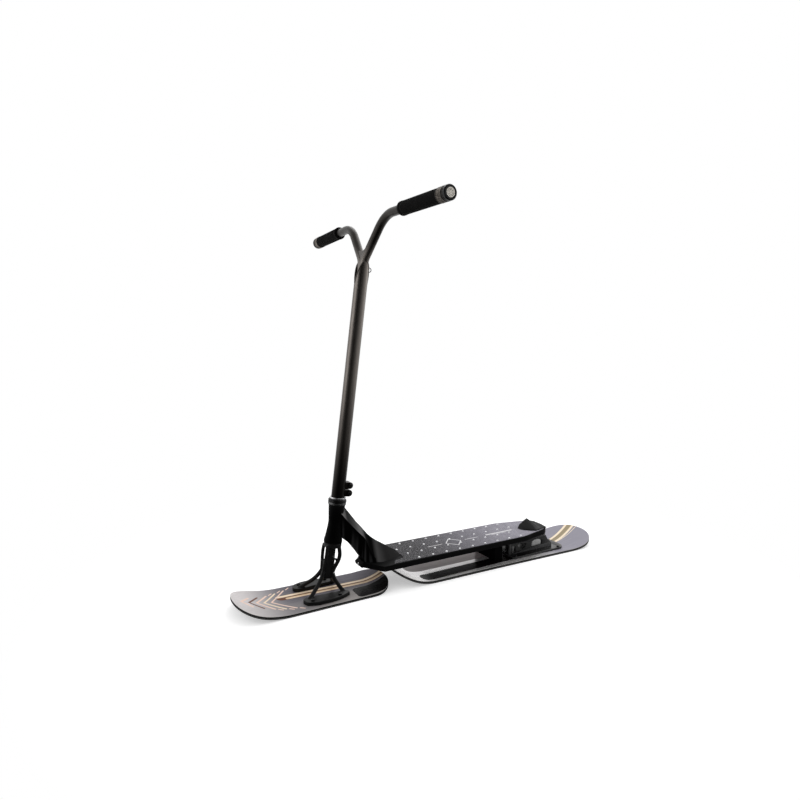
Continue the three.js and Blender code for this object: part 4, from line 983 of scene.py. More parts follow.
# painted highlight: pale grey on the top sheet's bevelled edge, where the edge catches light
sheet_edge_glint = edge_finish("sheet_edge_glint", (0.28, 0.27, 0.26), (0.45, 0.44, 0.43), 0.3)
side_wall = edge_finish("side_wall", NEAR_BLACK, (0.01, 0.01, 0.01), 0.35)
sliding_base = edge_finish("sliding_base", NEAR_BLACK, (0.012, 0.012, 0.012), 0.4)
deck_grit = grit_finish()
stop_plastic = stop_finish()

SLOT_MATERIALS = {
    "bar_metal": bar_gunmetal,
    "black_frame": frame_black,
    "grip_rubber": grip_rubber,
    "ring_bronze": ring_bronze,
    "bright_steel": bright_steel,
    "dark_steel": dark_steel,
    "top_sheet": front_print,
    "sliding_base": sliding_base,
    "deck_grip": deck_grit,
    "stop_plastic": stop_plastic,
}


def dress_frame():
    """Gives every CAD node the finish of its slot."""
    for part in frame["record"]["subparts"]:
        mesh = frame["nodes"][part["node"]].data
        mesh.materials.clear()
        mesh.materials.append(SLOT_MATERIALS[part["material_slot"]])


# Boards


def board_edge(b):
    """The board's plan as (x, half width), spaced evenly from nose to tail."""
    def half(x):
        nose_x = b["start"] + b["nose_round"]
        tail_x = b["end"] - b["tail_round"]
        share = min(max((x - nose_x) / (tail_x - nose_x), 0), 1)
        middle = b["nose"] + (b["tail"] - b["nose"]) * share - 4 * b["waist"] * share * (1 - share)
        nose = max(nose_x - x, 0) / b["nose_round"]
        tail = max(x - tail_x, 0) / b["tail_round"]
        ends = [max(1 - end**BOARD_ROUNDNESS, 0) ** (1 / BOARD_ROUNDNESS) for end in (nose, tail)]
        return middle * max(min(ends), BOARD_TIP_SHARE)

    steps = 1200
    fine = []
    for i in range(steps + 1):
        x = b["start"] + (b["end"] - b["start"]) * (1 - math.cos(math.pi * i / steps)) / 2
        fine.append(Vector((x, half(x))))
    spaced = [fine[0]]
    for place in fine:
        if (place - spaced[-1]).length >= BOARD_SPACING:
            spaced.append(place)
    spaced[-1] = fine[-1]
    return spaced


def board_lift(b, x):
    """How far the board's ends turn up at a place along it."""
    nose = b["nose_lift"] * max((b["start"] + b["nose_rocker"] - x) / b["nose_rocker"], 0) ** 2
    return nose + b["tail_lift"] * max((x - b["end"] + b["tail_rocker"]) / b["tail_rocker"], 0) ** 2


def board_layer(b, bottom, top):
    rings = []
    for x, half in board_edge(b):
        lift = board_lift(b, x)
        rings.append([(x, -half, lift + bottom), (x, half, lift + bottom),
                      (x, half, lift + top), (x, -half, lift + top)])
    return loft(rings)


def add_board(name, b, body, print_material, nodes):
    """A core with its printed sheet, and the sliding base under it."""
    top = mesh_object(name, board_layer(b, CORE_BOTTOM, BOARD_TOP), LEVEL)
    for material in (side_wall, print_material, sheet_edge_glint):
        top.data.materials.append(material)
    for face in top.data.polygons:
        face.material_index = 1 if face.normal.z > FACES_UP else 0
    soften(top, CORE_EDGE, corner=50, bevel_slot=2)
    finish(top, body, "top_sheet", nodes=[nodes[0]])
    base = mesh_object(name + "_base", board_layer(b, 0, BASE_TOP), LEVEL)
    soften(base, BASE_EDGE, steps=2, corner=50)
    finish(base, body, "sliding_base", sliding_base, nodes=[nodes[1]])


# Deck


def deck_outline(inset, front):
    """The deck's plan, moved in by an inset, with the right half of its front given."""
    half = DECK_HALF - inset
    shares = spline([(a, b, 0) for a, b in DECK_TAIL_SHARES], 16)
    side = [(DECK_TAIL - inset - DECK_TAPER * (1 - p.x), half * p.y) for p in shares]
    return [(x, -y) for x, y in side] + side[::-1] + front + [(x, -y) for x, y in front[::-1]]


def add_deck():
    front = [(DECK_FRONT + DECK_FRONT_TAPER, DECK_HALF), (DECK_FRONT, DECK_NOSE_HALF)]
    deck = mesh_object("deck_plank", slab(deck_outline(0, front), DECK_BOTTOM, DECK_TOP), LEVEL)
    room = (2 * DECK_HALF - (CHANNELS + 1) * DECK_WALL) / CHANNELS
    for i in range(CHANNELS):
        y = -DECK_HALF + DECK_WALL + i * (room + DECK_WALL)
        channel = block(CHANNEL_FRONT, CHANNEL_BACK, y, y + room, DECK_BOTTOM - OVERRUN,
                        DECK_TOP - DECK_ROOF)
        combine(deck, mesh_object("channel", channel, LEVEL), "DIFFERENCE")
    soften(deck, DECK_EDGE)
    finish(deck, "frame", "black_frame", frame_black, nodes=["deck"])


def add_stud_plate():
    half = DECK_HALF - PLATE_INSET
    front = [(PLATE_FRONT + PLATE_BULGE * b, half * a) for a, b in PLATE_FRONT_SHARES]
    sheet = slab(deck_outline(PLATE_INSET, front), DECK_TOP + GAP, PLATE_TOP)
    sheet = mesh_object("grit_plate", sheet, LEVEL)
    soften(sheet, PLATE_EDGE, steps=2)
    finish(sheet, "frame", "deck_grip", deck_grit, nodes=["stud_plate"])
    places = []
    for y, shift in STUD_ROWS:
        for i in range(int(STUD_COLUMNS - shift)):
            places.append((STUD_START + (i + shift) * STUD_PITCH, y, PLATE_TOP - STUD_SINK))
    studs = stud_growth("stud_tree", STUD_FOOT, STUD_TIP, STUD_HEIGHT)
    studs = studs.grow("deck_studs", places, stud_glint_steel, LEVEL)
    shade(studs)
    finish(studs, "frame", "bright_steel")


# Neck and head tube

# Place along the neck; ridge, shoulder and underside heights; shoulder, ridge and foot half widths
NECK_STATIONS = [
    (0, 1, 0.95, 0.527, 0.79, 0.2, 0.38),
    (0.11, 0.987, 0.779, 0.419, 1, 0.2, 0.38),
    (0.188, 0.87, 0.678, 0.343, 1, 0.2, 0.38),
    (0.297, 0.703, 0.539, 0.179, 1, 0.2, 0.38),
    (0.369, 0.609, 0.457, 0.059, 1, 0.22, 0.42),
    (0.408, 0.552, 0.394, 0, 1, 0.23, 1.02),
    (0.474, 0.46, 0.192, 0, 1.12, 0.25, 1.25),
    (0.535, 0.394, 0.072, 0, 1.28, 0.27, 1.5),
    (0.639, 0.299, 0.034, 0, 1.5, 0.3, 1.75),
    (0.777, 0.198, 0.022, 0, 1.5, 0.3, 1.65),
    (0.91, 0.104, 0.016, 0, 1.25, 0.29, 1.38),
    (1, 0.028, 0.012, 0, 0.8, 0.27, 0.85),
]


def head_outside(extra=0.0):
    """The head tube's outside as (radius, height), a waist between skirt and top."""
    waist = HEAD_BOTTOM + (HEAD_TOP - HEAD_BOTTOM) * HEAD_WAIST_SHARE
    skirt = HEAD_BOTTOM + HEAD_SKIRT_HEIGHT
    points = [(HEAD_SKIRT_RADIUS + extra, HEAD_BOTTOM), (HEAD_SKIRT_RADIUS + extra, skirt)]
    steps = 12
    for i in range(1, steps + 1):
        share = 1 - i / steps
        flare = (HEAD_SKIRT_RADIUS - HEAD_WAIST_RADIUS) * share**HEAD_WAIST_CURVE
        radius = HEAD_WAIST_RADIUS + flare
        points.append((radius + extra, waist + (skirt - waist) * share))
    points.append((HEAD_TOP_RADIUS + extra, HEAD_TOP))
    return points


def add_neck():
    """A loft through the stations, cut to the head tube's outside."""
    bottom = DECK_TOP + NECK_GAP
    rise = NECK_HEIGHT - bottom
    stations = []
    for i in range(len(NECK_STATIONS) - 1):
        parts = 5 if i >= NECK_BEND else 3
        for step in range(parts):
            t = step / parts
            pair = zip(NECK_STATIONS[i], NECK_STATIONS[i + 1])
            stations.append([a + (b - a) * t for a, b in pair])
    stations.append(NECK_STATIONS[-1])
    sections = []
    for along, ridge, shoulder, under, shoulder_half, ridge_half, foot_half in stations:
        x = NECK_START + NECK_LENGTH * along
        right = [(foot_half, under), (shoulder_half, shoulder), (ridge_half, ridge)]
        section = [(x, NECK_HALF * h, bottom + rise * z) for h, z in right]
        section += [(x, -NECK_HALF * h, bottom + rise * z) for h, z in right[::-1]]
        sections.append(section)
    neck = mesh_object("neck_body", loft(sections), LEVEL)
    low, high = HEAD_BOTTOM - SOCKET_OVERRUN, HEAD_TOP + SOCKET_OVERRUN
    outside = [(0, low), (HEAD_SKIRT_RADIUS + NECK_GAP, low), *head_outside(NECK_GAP)[1:],
               (HEAD_TOP_RADIUS + NECK_GAP, high), (0, high)]
    combine(neck, mesh_object("socket", turned(outside, 64), LEANED), "DIFFERENCE")
    soften(neck, NECK_EDGE, corner=22)
    finish(neck, "frame", "black_frame", neck_black, nodes=["neck"])


def add_turned(name, section, body, slot, material, node, lay=LEANED, sides=96, corner=35):
    """A piece turned from its closed section of (radius, height), about the steering axis
    where nothing else is said."""
    made = mesh_object(name, turned(section, sides), lay)
    shade(made, corner)
    finish(made, body, slot, material, nodes=[node])


def add_head():
    seat = HEAD_BOTTOM + HEAD_SEAT_DEPTH
    tube = [*head_outside(), (HEAD_BORE + HEAD_MOUTH, HEAD_TOP), (HEAD_BORE, HEAD_TOP - HEAD_MOUTH),
            (HEAD_BORE, seat), (HEAD_SEAT_RADIUS, seat), (HEAD_SEAT_RADIUS, HEAD_BOTTOM)]
    add_turned("head_barrel", filleted(tube, 0.8, 2), "frame", "black_frame", frame_black, "head_tube")
    low = HEAD_TOP + GAP
    cup = [(CUP_BORE, low), (CUP_RADIUS, low), (CUP_RADIUS, CUP_TOP), (CUP_BORE, CUP_TOP)]
    add_turned("cup_ring", filleted(cup, 0.6), "frame", "bright_steel", cup_steel, "headset_cup")


def add_headset():
    low, inner = CUP_TOP + GAP, STEERER_RADIUS + GAP
    groove = (low + CAP_TOP) / 2
    cap = [(inner, low), (CAP_RADIUS - 0.7, low), (CAP_RADIUS, low + 0.9), (CAP_RADIUS, groove - 0.8),
           (CAP_RADIUS - CAP_GROOVE, groove), (CAP_RADIUS, groove + 0.8), (CAP_RADIUS, CAP_TOP - 2.2),
           (CAP_RADIUS - 1.8, CAP_TOP), (inner, CAP_TOP)]
    add_turned("cap_ring", filleted(cap, 0.5), "steering", "dark_steel", black_alloy, "headset_cap")
    low = CAP_TOP + GAP
    band = [(inner, low), (SPACER_RADIUS, low), (SPACER_RADIUS, SPACER_TOP), (inner, SPACER_TOP)]
    add_turned("spacer_band", filleted(band, 0.7), "steering", "bright_steel", bright_steel,
               "spacer_ring")


# Bar


def arm_line():
    """Both ends of an arm's straight part, each as its reach across and its height."""
    reach = ARM_INSET + ARM_LOWER_BEND * (1 - math.cos(ARM_SPREAD))
    low = ARM_FORK + ARM_LOWER_BEND * math.sin(ARM_SPREAD)
    high = ARM_HEIGHT - ARM_UPPER_BEND + ARM_UPPER_BEND * math.sin(ARM_SPREAD)
    return (reach, low), (reach + (high - low) * math.tan(ARM_SPREAD), high)


def hand_start():
    """How far from the middle a hand section starts."""
    return arm_line()[1][0] + ARM_UPPER_BEND * math.cos(ARM_SPREAD)


def hand_way(side):
    across = side * math.cos(HAND_SWEEP) * math.cos(HAND_DROP)
    return Vector((math.sin(HAND_SWEEP), across, -math.sin(HAND_DROP))).normalized()


def along_hand(reach):
    """The length along a hand section at which it is this far from the middle."""
    return (reach - hand_start()) / (math.cos(HAND_SWEEP) * math.cos(HAND_DROP))


def arm_points(side, bottom, reach):
    """The middle line of an arm: lower bend, straight part, upper bend and hand section."""
    lower_steps, upper_steps = 12, 16
    points = [Vector((0, side * ARM_INSET, bottom))]
    for i in range(lower_steps + 1):
        angle = ARM_SPREAD * i / lower_steps
        out = ARM_INSET + ARM_LOWER_BEND * (1 - math.cos(angle))
        points.append(Vector((0, side * out, ARM_FORK + ARM_LOWER_BEND * math.sin(angle))))
    for i in range(upper_steps + 1):
        angle = ARM_SPREAD + (math.pi / 2 - ARM_SPREAD) * i / upper_steps
        out = hand_start() - ARM_UPPER_BEND * math.cos(angle)
        height = ARM_HEIGHT - ARM_UPPER_BEND + ARM_UPPER_BEND * math.sin(angle)
        points.append(Vector((0, side * out, height)))
    start = Vector((0, side * hand_start(), ARM_HEIGHT))
    for share in (0.12, 0.3, 1):
        points.append(start + hand_way(side) * along_hand(reach) * share)
    return points


def ear_outline(height):
    """A pinch ear from the side as (x, z), its back end a half round."""
    half = EAR_SIZE / 2
    back = EAR_REACH - half
    steps = 12
    turns = [math.pi * i / steps for i in range(1, steps)]
    end = [(back + half * math.sin(a), height - half * math.cos(a)) for a in turns]
    return [(0, height - half), (back, height - half), *end, (back, height + half), (0, height + half)]


def gusset_outline():
    """The web between the arms from the front as (y, z), its top edge sagging a little."""
    reach, low = arm_line()[0]
    reach += (GUSSET_TOP - low) * math.tan(ARM_SPREAD) - ARM_RADIUS / math.cos(ARM_SPREAD)
    reach += GUSSET_SINK
    foot, sag = GUSSET_TOP - GUSSET_SINK, ARM_RADIUS / 3
    edge = [(reach * s, GUSSET_TOP - sag * (1 - s * s)) for s in (1, 0.6, 0.2, -0.2, -0.6, -1)]
    return [(0, GUSSET_BOTTOM), (reach + GUSSET_SINK, foot), *edge, (-reach - GUSSET_SINK, foot)]


def add_bar():
    tube = [(0, BAR_BOTTOM), (BAR_RADIUS - BAR_FOOT_BEVEL, BAR_BOTTOM),
            (BAR_RADIUS, BAR_BOTTOM + BAR_FOOT_BEVEL), (BAR_RADIUS, BAR_TUBE_TOP), (0, BAR_TUBE_TOP)]
    bar = mesh_object("bar_body", turned(tube, 80), LEANED)

    def weld_on(name, bm):
        combine(bar, mesh_object(name, bm, LEANED), "UNION")

    def cut_out(name, bm):
        combine(bar, mesh_object(name, bm, LEANED), "DIFFERENCE")

    for height in EAR_HEIGHTS:
        weld_on("ear", web(ear_outline(height), EAR_HALF_WIDTH))
    notch = [(0, BAR_NOTCH), (NOTCH_HALF, NOTCH_TOP), (-NOTCH_HALF, NOTCH_TOP)]
    cut_out("wedge", plate(notch, -BAR_RADIUS - OVERRUN, BAR_RADIUS + OVERRUN))
    for side in (-1, 1):
        middle = arm_points(side, BAR_NOTCH - ARM_RADIUS, RING_END - 1)
        weld_on("arm", limb(middle, lambda share: ARM_RADIUS, 48))
    weld_on("gusset", plate(gusset_outline(), -GUSSET_HALF_DEPTH, GUSSET_HALF_DEPTH))
    cut_out("slit", block(OVERRUN, EAR_REACH + OVERRUN, -SLIT_WIDTH / 2, SLIT_WIDTH / 2,
                          BAR_BOTTOM - OVERRUN, BAR_BOTTOM + SLIT_HEIGHT))
    shade(bar, 28)
    finish(bar, "steering", "bar_metal", bar_gunmetal, nodes=["handlebar"])


def add_welds():
    """Beads where the arms leave the tube, and up both sides of each ear."""
    bead = bead_growth("bar_bead_tree", WELD_RADIUS, WELD_PITCH)
    paths = {}
    steps = 24
    for name, face in (("bar_weld_front", -1), ("bar_weld_back", 1)):
        paths[name] = []
        for i in range(-steps, steps + 1):
            y = WELD_HALF * i / steps
            height = BAR_NOTCH + abs(y) * (NOTCH_TOP - BAR_NOTCH) / NOTCH_HALF
            paths[name].append((face * math.sqrt(BAR_RADIUS**2 - y * y), y, height))
    ear_x = math.sqrt(BAR_RADIUS**2 - EAR_HALF_WIDTH**2)
    for height in EAR_HEIGHTS:
        heights = [height - EAR_SIZE / 2 + EAR_SIZE * i / 8 for i in range(9)]
        for side in (-1, 1):
            path = [(ear_x, side * EAR_HALF_WIDTH, z) for z in heights]
            paths["ear_weld_%d" % (len(paths) - 2)] = path
    for name, path in paths.items():
        weld = bead.grow(name, path, bar_gunmetal, LEANED, path=True)
        finish(weld, "steering", "bar_metal")


def add_eye():
    """A wire bent to a loop, its feet sunk into the arms."""
    foot = math.sqrt(ARM_RADIUS**2 - (ARM_INSET - EYE_WIRE) ** 2) - EYE_SINK
    half = EYE_HALF_HEIGHT
    middle = (foot + EYE_REACH) / 2
    lower = [(foot, 0, -half), (middle, 0, -half), (EYE_REACH, 0, -half / 2)]
    loop = spline(lower + [(x, y, -z) for x, y, z in lower[::-1]], 40)
    path = [p + Vector((0, 0, EYE_CENTRE)) for p in loop]
    wire = wire_growth("eye_tree", EYE_WIRE).grow("leash_loop", path, dark_steel, LEANED, path=True)
    finish(wire, "steering", "dark_steel", nodes=["leash_eye"])


# Grips, bar-end rings and caps


def add_grip(name, lay):
    """A sleeve with a smooth collar at its inner end and ribs round the rest."""
    low, high = along_hand(GRIP_START), along_hand(GRIP_END)
    collar = low + GRIP_COLLAR
    section = [(HAND_BORE, low), (GRIP_RADIUS - 1, low), (GRIP_RADIUS, low + 1), (GRIP_RADIUS, collar),
               (GRIP_RADIUS - 0.7, collar + 0.7), (GRIP_NECK, collar + 1.6), (GRIP_NECK, collar + 5.6)]
    z = low + GRIP_RIBS_START
    while z < high - GRIP_RIBS_END:
        section += [(GRIP_GROOVE, z), (GRIP_RIB, z + 0.35), (GRIP_RIB, z + 1.75),
                    (GRIP_GROOVE, z + 2.1)]
        z += GRIP_RIB_PITCH
    section += [(GRIP_GROOVE, high - 1.4), (GRIP_GROOVE - 0.6, high), (HAND_BORE, high)]
    add_turned("grip_sleeve_" + name, section, "steering", "grip_rubber", grip_rubber, "grip_" + name,
               lay, HAND_SIDES, corner=40)


def add_ring(name, lay):
    """A ring with rims and a groove, and knurled points between its rims."""
    low, high = along_hand(GRIP_END) + GAP, along_hand(RING_END)
    section = [(HAND_BORE, low), (RING_CORE - 0.6, low), (RING_RIM, low + 0.9), (RING_RIM, low + 2.6),
               (RING_CORE, low + 3.2), (RING_CORE, low + 19.4), (RING_RIM, low + 20.0),
               (RING_RIM, low + 21.2), (RING_GROOVE, low + 21.8), (RING_GROOVE, low + 23.4),
               (RING_RIM, low + 24.2), (RING_RIM, high - 1), (RING_CORE - 0.6, high),
               (HAND_BORE, high)]
    add_turned("ring_band_" + name, filleted(section, 0.3, 2), "steering", "ring_bronze", ring_dark,
               "bar_end_ring_" + name, lay, HAND_SIDES)
    places, ways = [], []
    radius = RING_CORE - KNURL_SINK
    for row in range(KNURL_ROWS):
        z = low + KNURL_START + KNURL_LENGTH * row / (KNURL_ROWS - 1)
        for i in range(KNURL_AROUND):
            angle = 2 * math.pi * (i + row % 2 / 2) / KNURL_AROUND
            way = (math.cos(angle), math.sin(angle), 0)
            places.append((way[0] * radius, way[1] * radius, z))
            ways.append(way)
    knurl = pyramid_growth("knurl_tree", KNURL_RADIUS, KNURL_HEIGHT)
    knurl = knurl.grow("knurl_" + name, places, ring_bronze, lay, facing=ways)
    finish(knurl, "steering", "ring_bronze")


def add_end_cap(name, lay):
    """A dished cap with rings of domed dots about the one in its middle."""
    low, high = along_hand(RING_END) + GAP, along_hand(BAR_HALF_WIDTH)
    rim, dish = high - END_RIM, high - END_RECESS
    cap = [(0, low), (END_CAP_RADIUS, low), (END_CAP_RADIUS, high - 2.4), (END_CAP_RADIUS - 1.9, rim),
           (END_CAP_RADIUS - 3.0, rim), (END_CAP_RADIUS - 3.6, dish), (0, dish)]
    section = [cap[0], *filleted(cap, 0.4, 2)[3:-3], cap[-1]]
    add_turned("end_disc_" + name, section, "steering", "ring_bronze", black_alloy,
               "bar_end_cap_" + name, lay, HAND_SIDES)
    z = dish - DOT_SINK
    places = [(0, 0, z)]
    for number in range(1, DOT_RINGS + 1):
        radius = DOT_PITCH * number
        for i in range(6 * number):
            angle = 2 * math.pi * i / (6 * number) + DOT_TURN * number
            places.append((radius * math.cos(angle), radius * math.sin(angle), z))
    dots = dome_growth("dot_tree", DOT_RADIUS, DOT_FLATNESS)
    dots = dots.grow("end_dots_" + name, places, bar_end_dots, lay)
    finish(dots, "steering", "ring_bronze")


def add_hand(name, side):
    start = Vector((0, side * hand_start(), ARM_HEIGHT))
    turn = hand_way(side).to_track_quat("Z", "Y").to_matrix().to_4x4()
    lay = LEANED @ Matrix.Translation(start) @ turn
    add_grip(name, lay)
    add_ring(name, lay)
    add_end_cap(name, lay)


# Fork

# Arms as shares of the crown's radius along x and y and of the climb from web top to crown, legs
# as shares of their foot's place and of the climb from rail to web top. The web's outline has
# shares of the crown's radius and of the first climb, the rail's of its own length and width.
REAR_ARM = [(0.51, 0.62, 1), (0.58, 0.8, 0.8), (0.61, 0.87, 0.63), (0.57, 0.8, 0.47),
            (0.48, 0.56, 0.28), (0.37, 0.36, 0.12), (0.27, 0.24, -0.06)]
FRONT_ARM = [(-0.8, 0.5, 1), (-0.84, 0.58, 0.78), (-0.85, 0.57, 0.56), (-0.86, 0.45, 0.33),
             (-0.88, 0.33, 0.14), (-0.88, 0.26, 0)]
FRONT_LEG = [(0.19, 0.16, 1), (0.33, 0.33, 0.7), (0.5, 0.51, 0.45), (0.69, 0.72, 0.25),
             (0.89, 0.92, 0.05), (1, 1, -0.05)]
REAR_LEG = [(0.45, 0.12, 0.78), (0.52, 0.31, 0.5), (0.66, 0.5, 0.31), (0.81, 0.72, 0.12),
            (1, 0.95, -0.06)]
FORK_WEB = [(-0.9, -0.34), (-0.9, 0.38), (-0.6, 0.47), (-0.57, 0.78), (-0.75, 0.9), (-0.75, 1),
            (0.16, 1), (0.14, 0.6), (0.12, 0.2), (0.35, 0), (0.3, -0.34)]
RAIL = [(0, 0.24), (0.04, 0.76), (0.25, 1), (0.48, 1), (0.63, 0.95), (0.81, 0.8), (0.98, 0.52),
        (0.95, 0.24), (0.78, 0.12), (0.42, 0.07), (0.21, -0.02), (0.08, 0.02)]


def fork_crown(bm):
    low, rim = CROWN_TOP - CROWN_HEIGHT, CROWN_RADIUS
    turned([(0, low), (rim - CROWN_FOOT_BEVEL, low), (rim, low + CROWN_FOOT_BEVEL),
            (rim, CROWN_TOP - CROWN_TOP_BEVEL), (rim - CROWN_TOP_BEVEL, CROWN_TOP), (0, CROWN_TOP)],
           64, bm)


def fork_arms(bm):
    """Four bowed arms, the web in their middle, and a link between the rear ones."""
    rise = CROWN_TOP - CROWN_HEIGHT / 2 - WEB_TOP
    for side in (-1, 1):
        for shares, radius in ((REAR_ARM, REAR_ARM_RADIUS), (FRONT_ARM, FRONT_ARM_RADIUS)):
            places = [(a * CROWN_RADIUS, side * b * CROWN_RADIUS, WEB_TOP + rise * c)
                      for a, b, c in shares]
            limb(spline(places, 26), lambda share: radius, 20, bm)
    outline = [(a * CROWN_RADIUS, WEB_TOP + rise * b) for a, b in FORK_WEB]
    web(filleted(outline, 4), WEB_HALF_WIDTH, bm)
    link = [(CROWN_RADIUS * (0.5 if s else 0.2), s * CROWN_RADIUS * 0.75, LINK_HEIGHT)
            for s in (-1, 0, 1)]
    limb(spline(link, 12), lambda share: LINK_RADIUS, 14, bm)


def fork_feet(bm):
    """Four legs and the two rails that they stand on."""
    climb = WEB_TOP - RAIL_TOP
    length, width = RAIL_BACK - RAIL_FRONT, RAIL_OUTER - RAIL_INNER
    for side in (-1, 1):
        for shares, foot in ((FRONT_LEG, FRONT_FOOT_X), (REAR_LEG, REAR_FOOT_X)):
            places = [(foot * a, side * LEG_SPAN * b, RAIL_TOP + climb * c) for a, b, c in shares]
            limb(spline(places, 24), lambda share: LEG_RADIUS - LEG_THINNING * share, 20, bm)
        rail = [Vector((RAIL_FRONT + length * a, side * (RAIL_INNER + width * b))) for a, b in RAIL]
        slab(filleted(rail, RAIL_CORNER, 4), RAIL_BOTTOM, RAIL_TOP, bm)


def add_fork():
    """Crown and arms are built upright and then leaned, the feet level, and all made one skin."""
    bm = bmesh.new()
    fork_crown(bm)
    fork_arms(bm)
    bm.transform(Matrix.Rotation(LEAN, 4, "Y"))
    fork_feet(bm)
    fork = mesh_object("fork_forging", bm, LEVEL)
    skin = fork.modifiers.new("skin", "REMESH")
    skin.mode = "VOXEL"
    skin.voxel_size = FORGING_GRAIN * MM
    smooth = fork.modifiers.new("smooth", "SMOOTH")
    smooth.factor = 0.5
    smooth.iterations = FORGING_SMOOTHING
    settle(fork)
    shade(fork, 180)
    finish(fork, "steering", "black_frame", fork_black, nodes=["fork"])


# Foot stop, rear mount, nose cap and screws

NOSE_CAP_EDGE = 0.6
MOUNT_PIECES = [
    ("mount_foot", "mount_base_plate", 1.0, mount_black),
    ("mount_shelf", "mount_top_plate", 0.8, mount_black),
    ("cheek_left", "mount_cheek_left", 0.7, mount_black),
    ("cheek_right", "mount_cheek_right", 0.7, mount_black),
    ("riser_block", "riser", 1.2, riser_black),
]


def add_edged(name, node, width, slot, material, steps=2, corner=40):
    """A CAD piece of the frame with its edges rounded."""
    made = merged_copy(name, node)
    soften(made, width, steps=steps, corner=corner)
    finish(made, "frame", slot, material, nodes=[node])


def add_mount():
    for name, node, width, black in MOUNT_PIECES:
        add_edged(name, node, width, "black_frame", black)


def add_screws():
    foot = screw_growth("foot_bolt_tree", **FOOT_SCREW)
    small = screw_growth("small_screw_tree", **SMALL_SCREW)
    pinch = screw_growth("pinch_tree", **PINCH_SCREW)

    def set_screws(name, tree, places, material, body, nodes, lay=LEVEL, facing=(0, 0, 1)):
        screws = tree.grow(name, places, material, lay, facing=facing)
        shade(screws)
        finish(screws, body, "bright_steel", nodes=nodes)

    places = [(x, y, RAIL_TOP) for x, y in FOOT_BOLTS]
    nodes = ["foot_bolt_" + n for n in ("front_left", "front_right", "rear_left", "rear_right")]
    set_screws("foot_bolts", foot, places, black_alloy, "steering", nodes)
    places = [(x, y, BASE_BOLT_SEAT) for x, y in BASE_BOLTS]
    nodes = ["base_bolt_" + n for n in ("front_left", "front_right", "back_left", "back_right")]
    set_screws("base_bolts", small, places, dark_steel, "frame", nodes)
    places = [(x, STOP_CENTRE, STOP_SCREW_SEAT) for x in STOP_SCREWS]
    nodes = ["foot_stop_screw_front", "foot_stop_screw_back"]
    set_screws("stop_screws", small, places, dark_steel, "frame", nodes)
    places = [(EAR_BOLT_X, -EAR_HALF_WIDTH, height) for height in EAR_HEIGHTS]
    nodes = ["pinch_bolt_lower", "pinch_bolt_upper"]
    set_screws("pinch_screws", pinch, places, black_alloy, "steering", nodes, LEANED, (0, -1, 0))


# Stage

# Mirrored rays meet a dark side behind the camera, diffuse ones an even fill, all others white.
# The edge of the dark side is two cosines to its middle: where it is darkest, and where it ends.
DARK_SIDE = (-0.45, -0.8, 0.4)
DARK_EDGE = (0.95, 0.08)
DARK_LEVEL = 0.0
FILL_LEVEL = 0.68

# The floor fades to white about a point under the deck. Mirrored rays see it dark where it lies
# towards the dark side.
FLOOR_HALF = 1.25
FLOOR_CENTRE_X = 330.0
FLOOR_FADE = (700.0, 1050.0)
FLOOR_LIFT = 0.42
DARK_FLOOR = (-100.0, 400.0)
DARK_FLOOR_SHARES = (0.3, 0.97)

SOFTBOXES = [
    ("top_softbox", (1.3, 1.0, 2.7), (0.1, 0, 0.2), (3.0, 2.8), 36),
    ("left_softbox", (-2.2, 0.4, 1.3), (0, 0, 0.4), (1.6, 1.8), 13),
    ("right_softbox", (2.3, -0.2, 1.4), (0, 0, 0.4), (1.6, 1.8), 13),
]

CAMERA_LENS = 26.214
CAMERA_PLACE = (-0.88762, -1.39252, 0.67616)
CAMERA_TILT = math.radians(83.93)
CAMERA_TURN = math.radians(-29.08)


def seen_directly(nodes):
    """1 for camera rays and transmitted ones, 0 for all others."""
    light = nodes.add("ShaderNodeLightPath").outputs
    return nodes.math("MAXIMUM", light["Is Camera Ray"], light["Is Transmission Ray"])


def mirrored(nodes):
    """1 for rays that a surface has mirrored."""
    return nodes.add("ShaderNodeLightPath").outputs["Is Glossy Ray"]


def add_stage():
    bm = bmesh.new()
    bmesh.ops.create_grid(bm, x_segments=4, y_segments=4, size=FLOOR_HALF)
    floor = mesh_object("floor", bm, Matrix.Identity(4))
    f = Finish("pale_floor", roughness=0.9, specular_ior_level=0.0)
    f.set("Base Color", (0.82, 0.82, 0.82, 1))

    def glow(level, strength):
        inputs = {"Color": (level, level, level, 1), "Strength": strength}
        return f.add("ShaderNodeEmission", inputs).outputs[0]

    plain = f.shader.outputs[0]
    lit = f.add("ShaderNodeAddShader", {0: plain, 1: glow(1, FLOOR_LIFT)}).outputs[0]
    x, y = f.places()
    x = f.math("SUBTRACT", x, FLOOR_CENTRE_X)
    lit = f.mixed_shader(f.between(f.length(x, y), *FLOOR_FADE), lit, glow(1, 1.0))
    ahead = f.math("MULTIPLY_ADD", x, DARK_SIDE[0], f.math("MULTIPLY", y, DARK_SIDE[1]))
    dark = f.math("MULTIPLY", mirrored(f), f.between(ahead, *DARK_FLOOR, *DARK_FLOOR_SHARES))
    shown = f.mixed_shader(seen_directly(f), f.mixed_shader(dark, plain, glow(0, 0.0)), lit)
    f.tree.links.new(shown, f.tree.nodes["Material Output"].inputs[0])
    floor.data.materials.append(f.material)


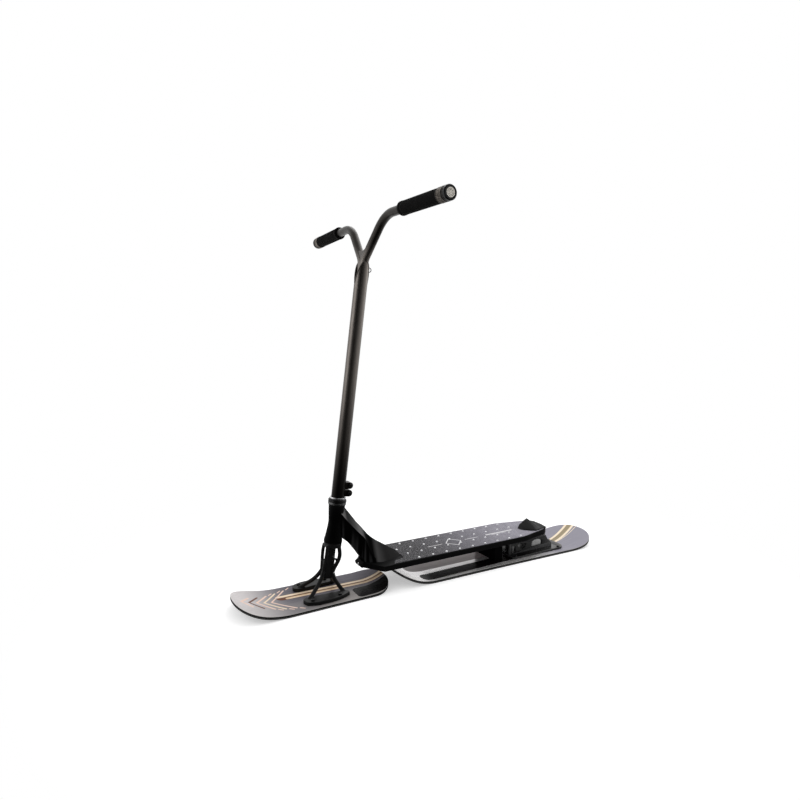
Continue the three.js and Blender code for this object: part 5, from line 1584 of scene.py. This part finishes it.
def add_softbox(name, place, aim, size, power):
    lamp = bpy.data.lights.new(name, "AREA")
    lamp.shape = "RECTANGLE"
    lamp.size, lamp.size_y = size
    lamp.energy = power
    made = bpy.data.objects.new(name, lamp)
    made.location = place
    made.rotation_euler = (Vector(aim) - Vector(place)).to_track_quat("-Z", "Y").to_euler()
    bpy.context.scene.collection.objects.link(made)


def add_studio():
    for softbox in SOFTBOXES:
        add_softbox(*softbox)
    world = bpy.data.worlds.new("studio")
    world.use_nodes = True
    studio = Nodes()
    studio.tree = world.node_tree
    way = studio.add("ShaderNodeTexCoord").outputs["Generated"]
    facing = studio.add("ShaderNodeVectorMath", {0: way, 1: DARK_SIDE}, operation="DOT_PRODUCT")
    facing = facing.outputs["Value"]
    dark = studio.between(facing, *DARK_EDGE, DARK_LEVEL, 1.0, smooth=False)
    level = studio.between(mirrored(studio), 0.0, 1.0, FILL_LEVEL, dark, smooth=False)
    level = studio.between(seen_directly(studio), 0.0, 1.0, level, 1.0, smooth=False)
    back = studio.tree.nodes["Background"]
    studio.plug(back.inputs["Strength"], level)
    studio.plug(back.inputs["Color"], (1, 1, 1, 1))
    bpy.context.scene.world = world
    bpy.context.scene.view_settings.view_transform = "Standard"


def add_camera():
    view = bpy.data.cameras.new("camera")
    view.sensor_width = 36
    view.lens = CAMERA_LENS
    view.clip_end = 100
    camera = bpy.data.objects.new("camera", view)
    camera.location = CAMERA_PLACE
    camera.rotation_euler = (CAMERA_TILT, 0, CAMERA_TURN)
    bpy.context.scene.collection.objects.link(camera)
    bpy.context.scene.camera = camera


dress_frame()
add_camera()
add_studio()
add_stage()
add_board("front_deckboard", FRONT_BOARD, "steering", front_print, ["front_board", "front_board_base"])
add_board("rear_deckboard", REAR_BOARD, "frame", rear_print, ["rear_board", "rear_board_base"])
add_deck()
add_stud_plate()
add_edged("foot_wedge", "foot_stop", STOP_EDGE, "stop_plastic", stop_plastic, steps=3, corner=20)
add_neck()
add_head()
add_headset()
add_bar()
add_welds()
add_eye()
add_hand("left", -1)
add_hand("right", 1)
add_fork()
add_mount()
add_edged("nose_bumper", "nose_cap", NOSE_CAP_EDGE, "grip_rubber", grip_rubber)
add_screws()
